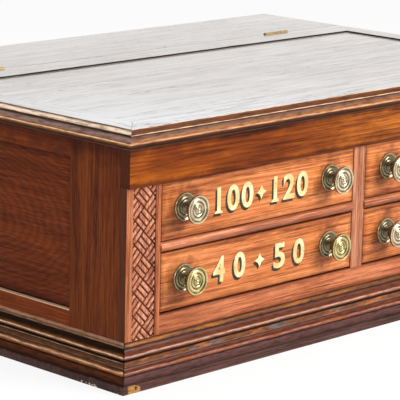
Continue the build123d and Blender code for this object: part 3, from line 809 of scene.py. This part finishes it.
def plain_below_panel(at, colour):
    """The panel's underside, seen when the lid is open, has the colour of the wood inside."""
    bare = ramp(at.noise(9, 260, "x", 22.3), UNSTAINED)
    return mix(fade(at.z, panel_top - 1.0 * MM, panel_top - 0.6 * MM), colour, bare)


def joint_line(y, width=1.6 * MM):
    """A dark line on the flat top along a joint."""
    def layer(at, colour):
        share = fade(abs(at.y - y), 0.5 * width, width) * 0.75
        return multiply(share, colour, (0.25, 0.19, 0.16))
    return layer


def dark_streaks(seed, grain="x"):
    """Thin open pores and scratches along the grain, thicker in some places than others."""
    def layer(at, colour):
        lines = at.noise(4, 110, grain, seed, 4.0, 1.2)
        where = at.noise(5, 14, grain, seed + 1, 3.0)
        mask = fade(abs(lines - 0.5), 0.006, 0.026) * fade(where, 0.52, 0.60)
        return multiply(mask * 0.95, colour, TOP_STREAK)
    return layer


def painted_corner_reflection(at, colour):
    """Painted reflection of the bright sweep, whitening the top towards its near left corner."""
    away = (at.x + flat_high_x) * 0.5 + (at.y - lid_low.y)
    return mix(fade(away, 0.0, 0.42) * 0.8, colour, PAINTED_REFLECTION)

# %% Top
POLISH_DEPTH = 0.5 * MM  # the moulded edge begins this far under the flat top
top_look = dict(
    roughness=0.42, coat=1.0, coat_roughness=0.13, specular=0.1, stain=0.2, pores=0.45,
    figure=90, fibre=800, glints=0.2,
)
edge_place = (lid_high.z, lid_thick)
# The moulded edges take these bands, with their painted highlights and shade.
edge_front_shading = moulding_bands_and_light(*edge_place, LID_FRONT_SHADING_BANDS, starts_below=POLISH_DEPTH)
edge_side_shading = moulding_bands_and_light(*edge_place, LID_SIDE_SHADING_BANDS, starts_below=POLISH_DEPTH, grain="y")
rear_edge_shading = moulding_bands_and_light(*edge_place, LID_SIDE_SHADING_BANDS, starts_below=POLISH_DEPTH)
top_mitre = mitre_line(flat_high_x, flat_front_y, 0.5 * MM, (0.18, 0.13, 0.10))
hinge_line = joint_line(rear_low.y)

panel_paint = [painted_corner_reflection, dark_streaks(12.1), plain_below_panel]
panel_finish = stained_wood(
    "top_panel_wood", "x", TOP_TONES, 51, paint=panel_paint,
    shiny_above=panel_top - 0.6 * MM, **top_look,
)
finish_nodes(panel_finish, "lid_panel")
front_paint = [painted_corner_reflection, dark_streaks(14.3), top_mitre, edge_front_shading]
end_paint = [painted_corner_reflection, dark_streaks(16.7, "y"), top_mitre, hinge_line, edge_side_shading]
for name, grain, seed, paint, boards in (
    ("top_front_wood", "x", 53, front_paint, ["lid_front_rail"]),
    ("top_rear_wood", "x", 54, [dark_streaks(15.1), hinge_line], ["lid_rear_rail"]),
    ("top_end_wood", "y", 55, end_paint, ["lid_left_rail", "lid_right_rail"]),
    ("rear_board_wood", "x", 57, [dark_streaks(18.9), hinge_line, rear_edge_shading], ["rear_top_board"]),
):
    polished = stained_wood(
        name, grain, TOP_TONES, seed, paint=[*paint, joint_and_step_shade, unpolished(grain)],
        shiny_above=lid_high.z - POLISH_DEPTH, **top_look,
    )
    finish_nodes(polished, *boards)
print("polished above z", round((lid_high.z - POLISH_DEPTH) / MM, 1))

# %% [markdown]
# ## Carved basket weave
# The pilasters carry a common carved pattern: a basket weave turned by 45 degrees, three
# bars to a block. One bar is a cube stretched to size, with the edges of its front face
# rounded over. The blocks sit on a grid, and each gets three copies of the bar. What
# stands past the sunk field is then cut away with bisect, as a carver stops at a line.

# %% Mesh helpers
def deselect():
    bpy.ops.object.select_all(action="DESELECT")


def active(name):
    """The primitive that was just added, under its own name."""
    made = bpy.context.active_object
    made.name = name
    made.data.name = name
    return made


def in_edit(piece, chosen):
    """Goes into edit mode with the faces selected that chosen(centre, normal) accepts."""
    deselect()
    piece.select_set(True)
    bpy.context.view_layer.objects.active = piece
    bpy.ops.object.mode_set(mode="EDIT")
    bpy.ops.mesh.select_mode(type="FACE")
    bpy.ops.mesh.select_all(action="DESELECT")
    bpy.ops.object.mode_set(mode="OBJECT")
    for face in piece.data.polygons:
        face.select = bool(chosen(face.center, face.normal))
    bpy.ops.object.mode_set(mode="EDIT")


def out_of_edit():
    bpy.ops.object.mode_set(mode="OBJECT")


def copy_of(piece, name, place):
    """A copy with its own mesh, moved by a matrix."""
    made = piece.copy()
    made.data = piece.data.copy()
    made.name = name
    made.data.name = name
    made.data.transform(place)
    bpy.context.scene.collection.objects.link(made)
    return made


def joined(pieces, name):
    """Several meshes made one."""
    deselect()
    for piece in pieces:
        piece.select_set(True)
    bpy.context.view_layer.objects.active = pieces[0]
    bpy.ops.object.join()
    return active(name)


def smoothed(piece, degrees=35):
    deselect()
    piece.select_set(True)
    bpy.context.view_layer.objects.active = piece
    bpy.ops.object.shade_smooth_by_angle(angle=math.radians(degrees))
    return piece


def finished(piece, material, body):
    """Gives a new piece its finish and its body, and prints its face count."""
    piece.data.materials.clear()
    piece.data.materials.append(material)
    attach(piece, body)
    print(piece.name, "faces", len(piece.data.polygons))
    return piece

# %% Measures of the carving
FIELD_MARGIN = 10.5 * MM  # plain wood outside the carving
BAR_RELIEF = 2.0 * MM
BLOCK = 19.7 * MM  # side of a block of three bars
GROOVE = 0.8 * MM
BAR_ROUNDING = 1.95 * MM

pilaster_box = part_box("left_pilaster")
field_x = (pilaster_box[0].x + FIELD_MARGIN, pilaster_box[1].x)
field_z = (base_top_z, pilaster_box[1].z)
print("carved field in mm", [round(v / MM, 1) for v in (*field_x, *field_z)])

# %% One bar
deselect()
bpy.ops.mesh.primitive_cube_add(size=1)
bar = active("carving_bar")
bpy.ops.transform.resize(value=(BLOCK - GROOVE, BAR_RELIEF, BLOCK / 3 - GROOVE))
bpy.ops.object.transform_apply(scale=True)
in_edit(bar, lambda centre, normal: normal.y < -0.9)
bpy.ops.mesh.bevel(offset=BAR_ROUNDING, segments=4, affect="EDGES")
out_of_edit()
print("bar faces", len(bar.data.polygons))

# %% A field of bars, trimmed to its edges
def trim(piece, point, normal):
    """Cuts away what lies past a plane, and closes the cut."""
    in_edit(piece, lambda centre, face_normal: True)
    bpy.ops.mesh.bisect(plane_co=point, plane_no=normal, use_fill=True, clear_outer=True)
    out_of_edit()


def weave(name, low_x, high_x, lean):
    """Basket weave over one field. lean is 1 on the left pilaster and -1 on its mirror."""
    pace = BLOCK / math.sqrt(2)
    middle_x = (low_x + high_x) / 2
    middle_y = front_face_y + BAR_RELIEF / 2
    rows = int((field_z[1] - field_z[0]) / pace) + 3
    bars = []
    for row in range(-1, rows):
        for column in range(-2, 3):
            if (row + column) % 2:
                continue
            angle = math.radians(45) * lean * (1 if column % 2 == 0 else -1)
            lying = Matrix.Rotation(angle, 4, "Y")
            centre = Vector((middle_x + column * pace, middle_y, field_z[0] + row * pace))
            for number in (-1, 0, 1):
                beside = Matrix.Translation((0, 0, number * BLOCK / 3))
                bars.append(copy_of(bar, "bar", Matrix.Translation(centre) @ lying @ beside))
    piece = joined(bars, name)
    for point, normal in (
        ((low_x, 0, 0), (-1, 0, 0)), ((high_x, 0, 0), (1, 0, 0)),
        ((0, 0, field_z[0]), (0, 0, -1)), ((0, 0, field_z[1]), (0, 0, 1)),
    ):
        trim(piece, point, normal)
    return smoothed(piece)

# %% Carved fields
GROOVE_DIRT_AND_SHADE = (0.34, 0.20, 0.15)
WORN_CREST_HIGHLIGHT = (0.66, 0.35, 0.23)


def carving_shade_and_highlight(at, colour):
    """Dark in the carving's grooves, old dirt and painted shade, and light on its crests, rubbed
    wood and painted highlight.
    """
    on_carving = fade(abs(at.x), -field_x[0] + 0.2 * MM, -field_x[0] + 0.4 * MM)
    # deeper in the carving is darker: dirt and painted shade
    low = fade(at.y, front_face_y + 1.7 * MM, front_face_y + 0.5 * MM)
    colour = multiply(low * on_carving, colour, GROOVE_DIRT_AND_SHADE)
    # the crests are lighter: rubbed wood and painted highlight
    crest = fade(at.y, front_face_y + 0.03 * MM, front_face_y + 0.3 * MM) * on_carving
    worn = at.noise(140, 260, "z", 4.4, 3.0)
    crest = crest * fade(worn, 0.62, 0.42)
    return mix(crest * 0.55, colour, WORN_CREST_HIGHLIGHT)


carving_paint = [carving_shade_and_highlight, dark_sides]
carved_wood = stained_wood("carved_wood", "z", CARVED_TONES, 9, paint=carving_paint, coat=0.25)
pilaster_wood = stained_wood(
    "pilaster_wood", "z", PILASTER_TONES, 9, coat=0.02, specular=0.08, paint=carving_paint
)
left_weave = weave("left_carving", field_x[0], field_x[1], 1)
finished(left_weave, carved_wood, "cabinet")
right_weave = weave("right_carving", -field_x[1], -field_x[0], -1)
finished(right_weave, carved_wood, "cabinet")
finish_nodes(pilaster_wood, "left_pilaster", "right_pilaster")
bpy.data.objects.remove(bar)

# %% [markdown]
# ## Brass knobs
# The knobs and their plates were turned on a lathe and then beaded round the rim. A
# filled circle is extruded and resized ring by ring along the axis, as a lathe tool
# steps over the work. Every second point of the rim is then drawn in, which beads it.
# A knob stands for the plain packed one, so it keeps its place and its size.

# %% Lathe helper
def turning(name, rings, around=144):
    """A turned piece along Z from (radius, height) rings in mm, closed at both ends."""
    radius, height = rings[0]
    deselect()
    bpy.ops.mesh.primitive_circle_add(
        vertices=around, radius=radius * MM, fill_type="NGON", location=(0, 0, height * MM)
    )
    piece = active(name)
    bpy.ops.object.transform_apply(location=True)
    bpy.ops.object.mode_set(mode="EDIT")
    bpy.ops.mesh.select_all(action="SELECT")
    for new_radius, new_height in rings[1:]:
        rise = (0, 0, (new_height - height) * MM)
        bpy.ops.mesh.extrude_region_move(TRANSFORM_OT_translate={"value": rise})
        share = new_radius / radius
        bpy.ops.transform.resize(value=(share, share, 1))
        radius, height = new_radius, new_height
    bpy.ops.mesh.select_all(action="SELECT")
    bpy.ops.mesh.normals_make_consistent(inside=False)
    bpy.ops.object.mode_set(mode="OBJECT")
    return piece


def beaded(piece, radius, low, high, depth, beads):
    """Draws in every second stretch of the rim between two heights, all in mm."""
    for vertex in piece.data.vertices:
        reach = math.hypot(vertex.co.x, vertex.co.y)
        if abs(reach - radius * MM) < 0.3 * MM and low * MM < vertex.co.z < high * MM:
            turn_share = math.atan2(vertex.co.y, vertex.co.x) / (2 * math.pi) * beads
            pull = depth * MM * (0.5 - 0.5 * math.cos(2 * math.pi * turn_share))
            vertex.co.x *= 1 - pull / reach
            vertex.co.y *= 1 - pull / reach

# %% Knob and plate
knob_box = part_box("upper_left_drawer_knobs")
plate_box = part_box("upper_left_drawer_backplates")
KNOB_REACH = (front_face_y - knob_box[0].y) / MM
PLATE_THICK = (front_face_y - plate_box[0].y) / MM
KNOB_RADIUS = (knob_box[1].z - knob_box[0].z) / MM / 2
PLATE_RADIUS = (plate_box[1].z - plate_box[0].z) / MM / 2
BEADS = 72

knob_rings = [
    (2.9, -26), (2.9, PLATE_THICK), (7.0, PLATE_THICK), (7.4, 4.4), (6.6, 5.4), (4.8, 6.6),
    (4.5, 7.6), (5.8, 9.0), (7.6, 10.8), (8.2, 12.8), (7.6, 14.8), (7.0, 16.0), (10.0, 17.8),
    (14.2, 19.2), (16.0, 20.0), (KNOB_RADIUS, 20.9), (KNOB_RADIUS, 21.8), (KNOB_RADIUS, 22.7),
    (16.4, 23.5), (15.4, 23.7), (14.7, 23.1), (14.1, 22.1), (13.4, 22.0), (12.7, 22.6),
    (11.6, 23.3), (10.4, 23.2), (9.7, 22.2), (9.0, 21.6), (8.3, 21.8), (7.7, 22.7), (6.9, 23.2),
    (6.1, 22.9), (5.5, 22.2), (4.9, 22.6), (4.0, 23.6), (3.0, 23.8), (2.3, 23.3),
    (1.6, 24.2), (0.5, KNOB_REACH),
]
knob = turning("knob", knob_rings)
beaded(knob, KNOB_RADIUS, 20.5, 23.0, 0.8, BEADS)
beaded(knob, 4.9, 22.4, 22.8, 0.9, 8)
beaded(knob, 4.0, 23.4, 23.7, 0.9, 8)
plate_rings = [
    (3.0, 0.0), (PLATE_RADIUS, 0.0), (PLATE_RADIUS, 0.9), (PLATE_RADIUS, 1.6), (15.8, 2.2),
    (14.9, 2.1), (14.2, 1.2), (13.2, 1.0), (12.5, 2.0), (11.8, 2.9), (10.8, 3.0), (10.1, 2.0),
    (9.2, 1.8), (8.6, 2.8), (7.8, PLATE_THICK), (3.0, PLATE_THICK),
]
plate = turning("plate", plate_rings)
beaded(plate, PLATE_RADIUS, 0.5, 1.8, 0.7, BEADS)
print("knob", len(knob.data.polygons), "plate", len(plate.data.polygons))

# %% [markdown]
# Old lacquered brass is yellow-green where it is rubbed, and brown to black in the
# hollows. So each point keeps how far it lies below the crests near it, as an attribute of
# the mesh, and the brass reads that. It stays with the knob wherever the drawer goes.

# %% Aged brass
def keep_relief(piece, rings):
    """Keeps how far each point lies below the piece's crests, from 0 to 1."""
    relief = piece.data.attributes.new("relief", "FLOAT", "POINT")
    for vertex in piece.data.vertices:
        reach = math.hypot(vertex.co.x, vertex.co.y) / MM
        height = vertex.co.z / MM
        crest = max((z for r, z in rings if abs(r - reach) < 2.2), default=height)
        relief.data[vertex.index].value = min(1.0, max(0.0, (crest - height) / 1.6))


def aged_brass(name, bright, dark, seed, roughness=0.26):
    """Brass that is bright on its crests, and dark in its hollows and in cloudy patches."""
    material, tree, output = new_material(name)
    at = Point(tree)
    spots = at.noise(900, 900, "x", seed + 1, 3.0)
    tarnish = at.noise(160, 160, "x", seed, 4.0) * 0.8 + spots * 0.3
    relief = Value(tree, node(tree, "Attribute", attribute_name="relief").outputs["Fac"])
    colour = mix(step(tarnish, 0.45, 0.72) * 0.5, bright, dark)
    colour = mix(relief * 0.85, colour, dark)
    shader = surface(output, colour, spots, 0.15, 0.2 * MM, Metallic=0.72)
    feed(tarnish * 0.25 + (roughness - 0.12), shader.inputs["Roughness"])
    return material


keep_relief(knob, knob_rings)
keep_relief(plate, plate_rings)
for vertex in plate.data.vertices:
    if math.hypot(vertex.co.x, vertex.co.y) < (PLATE_RADIUS - 1.6) * MM:
        relief = plate.data.attributes["relief"].data[vertex.index]
        relief.value = max(relief.value, 0.75)  # only the beaded rim is rubbed bright
knob_brass = aged_brass("knob_brass", (0.90, 0.75, 0.50), (0.070, 0.046, 0.018), 81)
yellow_brass = aged_brass("yellow_brass", (0.86, 0.70, 0.32), (0.085, 0.060, 0.015), 83)
plate_brass = aged_brass("plate_brass", (0.82, 0.66, 0.36), (0.030, 0.022, 0.012), 85)
hinge_brass = aged_brass("hinge_brass", (0.46, 0.30, 0.11), (0.06, 0.035, 0.02), 87, 0.4)
finish_nodes(hinge_brass, "lid_hinge_leaves", "fixed_hinge_leaves", "hinge_pins")

# %% [markdown]
# One knob and one plate are modelled, and each drawer gets two copies of both, turned from
# the lathe's axis Z to face the room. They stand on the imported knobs' centres. The brass of
# the lower left drawer is yellower, as in the photograph.

# %% Knobs on their drawers
facing = Matrix.Rotation(math.radians(90), 4, "X")  # from axis Z to axis -Y
smoothed(knob, 50)
smoothed(plate, 50)
for drawer in DRAWERS:
    brass = yellow_brass if drawer == "lower_left_drawer" else knob_brass
    knobs, plates = [], []
    for x, z in knob_centres(drawer):
        place = Matrix.Translation((x, front_face_y, z)) @ facing
        knobs.append(copy_of(knob, "knob", place))
        plates.append(copy_of(plate, "plate", place))
    pair = finished(joined(knobs, drawer + "_turned_knobs"), brass, drawer)
    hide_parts(drawer + "_knobs")
    pair = finished(joined(plates, drawer + "_beaded_plates"), plate_brass, drawer)
    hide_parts(drawer + "_backplates")
bpy.data.objects.remove(knob)
bpy.data.objects.remove(plate)

# %% [markdown]
# Behind each drawer front a washer and a nut hold the knob's shank. They are seen only
# when the drawer is open. A nut is a six-sided cylinder with its outer face bevelled, and
# the washer is a flat disc whose rim is rounded the same way.

# %% Nuts and washers
NUT_RADIUS = 5.6 * MM
NUT_HEIGHT = 4.0 * MM
WASHER_RADIUS = 8.0 * MM
WASHER_HEIGHT = 1.2 * MM
behind_front_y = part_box("upper_left_drawer_front")[1].y


def bevelled_disc(name, sides, radius, low, high, bevel):
    """A disc or a nut along Z whose outer face is bevelled round its rim."""
    deselect()
    middle = (0, 0, (low + high) / 2)
    bpy.ops.mesh.primitive_cylinder_add(
        vertices=sides, radius=radius, depth=high - low, location=middle
    )
    disc = active(name)
    bpy.ops.object.transform_apply(location=True)
    in_edit(disc, lambda centre, normal: normal.z > 0.9)
    bpy.ops.mesh.bevel(offset=bevel, segments=2, affect="EDGES")
    out_of_edit()
    return disc


washer = bevelled_disc("washer", 40, WASHER_RADIUS, 0.0, WASHER_HEIGHT, 0.35 * MM)
nut = bevelled_disc("nut", 6, NUT_RADIUS, WASHER_HEIGHT, WASHER_HEIGHT + NUT_HEIGHT, 0.7 * MM)
fixing = joined([nut, washer], "fixing")
inwards = Matrix.Rotation(math.radians(-90), 4, "X")  # from axis Z to axis +Y
for drawer in DRAWERS:
    places = [Matrix.Translation((x, behind_front_y, z)) for x, z in knob_centres(drawer)]
    pair = [copy_of(fixing, "nut", place @ inwards) for place in places]
    finished(joined(pair, drawer + "_knob_nuts"), hinge_brass, drawer)
bpy.data.objects.remove(fixing)

# %% [markdown]
# Each hinge leaf is let into the edge of its board and held by three slotted screws. The
# slot is cut as a strip across the head's face with two bisects, and pushed in.

# %% Hinge screws
SCREW_RADIUS = 2.6 * MM
SCREW_PROUD = 0.12 * MM
SCREW_HEAD = 0.8 * MM
SLOT_HALF = 0.35 * MM
SLOT_DEPTH = 0.5 * MM
SCREW_PITCH = 16 * MM
SCREW_HEIGHTS = (9.5 * MM, 6.0 * MM, 9.5 * MM)  # over the leaf's lower edge
LEAF_HALF = 23 * MM

deselect()
bpy.ops.mesh.primitive_cylinder_add(
    vertices=28, radius=SCREW_RADIUS, depth=SCREW_HEAD,
    location=(0, 0, SCREW_PROUD - SCREW_HEAD / 2),
)
screw = active("screw")
bpy.ops.object.transform_apply(location=True)
for edge in (-SLOT_HALF, SLOT_HALF):
    in_edit(screw, lambda centre, normal: normal.z > 0.9)
    bpy.ops.mesh.bisect(plane_co=(edge, 0, 0), plane_no=(1, 0, 0))
    out_of_edit()
in_edit(screw, lambda centre, normal: normal.z > 0.9 and abs(centre.x) < SLOT_HALF)
bpy.ops.mesh.extrude_region_move(TRANSFORM_OT_translate={"value": (0, 0, -SLOT_DEPTH)})
out_of_edit()

for leaves, body, face_y, turn_about in (
    ("fixed_hinge_leaves", "cabinet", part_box("rear_top_board")[0].y, 90),
    ("lid_hinge_leaves", "lid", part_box("lid_rear_rail")[1].y, -90),
):
    low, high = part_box(leaves)
    facing_out = Matrix.Rotation(math.radians(turn_about), 4, "X")
    screws = []
    for hinge_x in (low.x + LEAF_HALF, high.x - LEAF_HALF):
        for number, height in enumerate(SCREW_HEIGHTS):
            spot = (hinge_x + (number - 1) * SCREW_PITCH, face_y, low.z + height)
            turned_slot = Matrix.Rotation(0.5 + 1.3 * number, 4, "Z")
            place = Matrix.Translation(spot) @ facing_out @ turned_slot
            screws.append(copy_of(screw, "screw", place))
    finished(joined(screws, body + "_hinge_screws"), hinge_brass, body)
bpy.data.objects.remove(screw)

# %% [markdown]
# ## Gilding
# The drawers of such cabinets were gilded with the sizes of what they held. Each figure
# is text made a mesh, brought to one height, and set at an even pitch. Under the gold lies
# a dark shade, the same figure moved down to the left, as sign painters did it.

# %% One gilded figure
GILT_HEIGHT = 31 * MM
GILT_THICK = 0.10 * MM
SHADE_STEP = 3.1 * MM
FOOT_WIDTH = 14 * MM
FOOT_HEIGHT = 3.2 * MM
FOOT_TAPER = 0.7  # the foot's upper edge over its lower
DIAMOND_RADIUS = 8.5 * MM
DIAMOND_WAIST = 0.72  # how far the middles of its edges are drawn in


def figure(text, width):
    """A thin plate in the shape of one figure, centred on the origin, facing Z."""
    deselect()
    bpy.ops.object.text_add(location=(0, 0, 0))
    letter = bpy.context.active_object
    letter.data.body = text
    letter.data.extrude = 0.02  # any thickness will do, as it is scaled below
    letter.data.offset = 0.028  # makes the strokes bolder
    letter.data.resolution_u = 6
    bpy.ops.object.convert(target="MESH")
    letter = active("figure")
    points = [vertex.co for vertex in letter.data.vertices]
    low = Vector([min(point[axis] for point in points) for axis in range(3)])
    high = Vector([max(point[axis] for point in points) for axis in range(3)])
    centre = Vector(((low.x + high.x) / 2, (low.y + high.y) / 2, low.z))
    size = [wanted / had for wanted, had in zip((width, GILT_HEIGHT, GILT_THICK), high - low)]
    letter.data.transform(Matrix.Diagonal((*size, 1)) @ Matrix.Translation(-centre))
    return letter


def with_foot(letter):
    """Adds the flat foot that sign painters give to a 1, from a cube flattened to a bar."""
    deselect()
    middle = (0, (FOOT_HEIGHT - GILT_HEIGHT) / 2, GILT_THICK / 2)
    bpy.ops.mesh.primitive_cube_add(size=1, location=middle)
    bpy.ops.transform.resize(value=(FOOT_WIDTH, FOOT_HEIGHT, 0.96 * GILT_THICK))
    foot = active("foot")
    bpy.ops.object.transform_apply(location=True, scale=True)
    in_edit(foot, lambda centre, normal: normal.y > 0.9)
    bpy.ops.transform.resize(value=(FOOT_TAPER, 1, 1))
    out_of_edit()
    return joined([letter, foot], "figure")


def diamond():
    """The ornament between two sizes: a flat cylinder of four sides, drawn in at its edges."""
    deselect()
    bpy.ops.mesh.primitive_cylinder_add(
        vertices=4, radius=DIAMOND_RADIUS, depth=GILT_THICK, location=(0, 0, GILT_THICK / 2)
    )
    bpy.ops.object.transform_apply(location=True)
    star = active("diamond")
    bpy.ops.object.mode_set(mode="EDIT")
    bpy.ops.mesh.select_all(action="SELECT")
    bpy.ops.mesh.subdivide(number_cuts=1)
    bpy.ops.object.mode_set(mode="OBJECT")
    for vertex in star.data.vertices:
        if min(abs(vertex.co.x), abs(vertex.co.y)) > 1 * MM:
            vertex.co.x *= DIAMOND_WAIST
            vertex.co.y *= DIAMOND_WAIST
    return star

# %% Gold and its shade
def gilding(name, gold, worn, seed, metal, roughness):
    """Gold leaf or paint with duller clouds in it, rubbed through to another colour in spots."""
    material, tree, output = new_material(name)
    at = Point(tree)
    rubbed = at.noise(260, 260, "x", seed, 5.0)
    clouds = at.noise(60, 60, "x", seed + 1, 3.0)
    dull = tuple(v * w for v, w in zip(gold, (0.80, 0.68, 0.45)))
    colour = mix(step(rubbed, 0.62, 0.70), mix(step(clouds, 0.35, 0.65), gold, dull), worn)
    surface(output, colour, rubbed, 0.2, 0.1 * MM, **{
        "Metallic": metal, "Roughness": roughness, "Specular IOR Level": 0.2,
    })
    return material


gold_leaf = gilding("gold_leaf", (0.84, 0.70, 0.42), (0.36, 0.20, 0.07), 91, 0.25, 0.42)
shade_paint = gilding("shade_paint", (0.030, 0.030, 0.016), (0.14, 0.06, 0.03), 95, 0.0, 0.6)

# %% Sizes on the drawers
SIZES = {
    "upper_left_drawer": ("100*120", 24.0 * MM), "lower_left_drawer": ("40*50", 34.5 * MM),
    "upper_right_drawer": ("140*160", 24.0 * MM), "lower_right_drawer": ("60*70", 34.5 * MM),
}
FIGURE_WIDTH = 20 * MM
ONE_WIDTH = 6 * MM
FIGURES_UP = 1.0 * MM  # over the middle of the drawer front
for drawer, (text, pitch) in SIZES.items():
    low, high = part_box(drawer + "_front")
    middle = Vector(((low.x + high.x) / 2, front_face_y, (low.z + high.z) / 2 + FIGURES_UP))
    gold, shade = [], []
    for number, sign in enumerate(text):
        along = (number - (len(text) - 1) / 2) * pitch
        if sign == "*":
            shape = diamond()
        elif sign == "1":
            shape = with_foot(figure(sign, ONE_WIDTH))
        else:
            shape = figure(sign, FIGURE_WIDTH)
        place = Matrix.Translation(middle + Vector((along, 0, 0))) @ facing
        under = Matrix.Translation(middle + Vector((along - SHADE_STEP, 0, -SHADE_STEP))) @ facing
        shade.append(copy_of(shape, "shade", under))
        gold.append(copy_of(shape, "gold", Matrix.Translation((0, -GILT_THICK, 0)) @ place))
        bpy.data.objects.remove(shape)
    finished(joined(gold, drawer + "_gilt_sizes"), gold_leaf, drawer)
    finished(joined(shade, drawer + "_gilt_shade"), shade_paint, drawer)
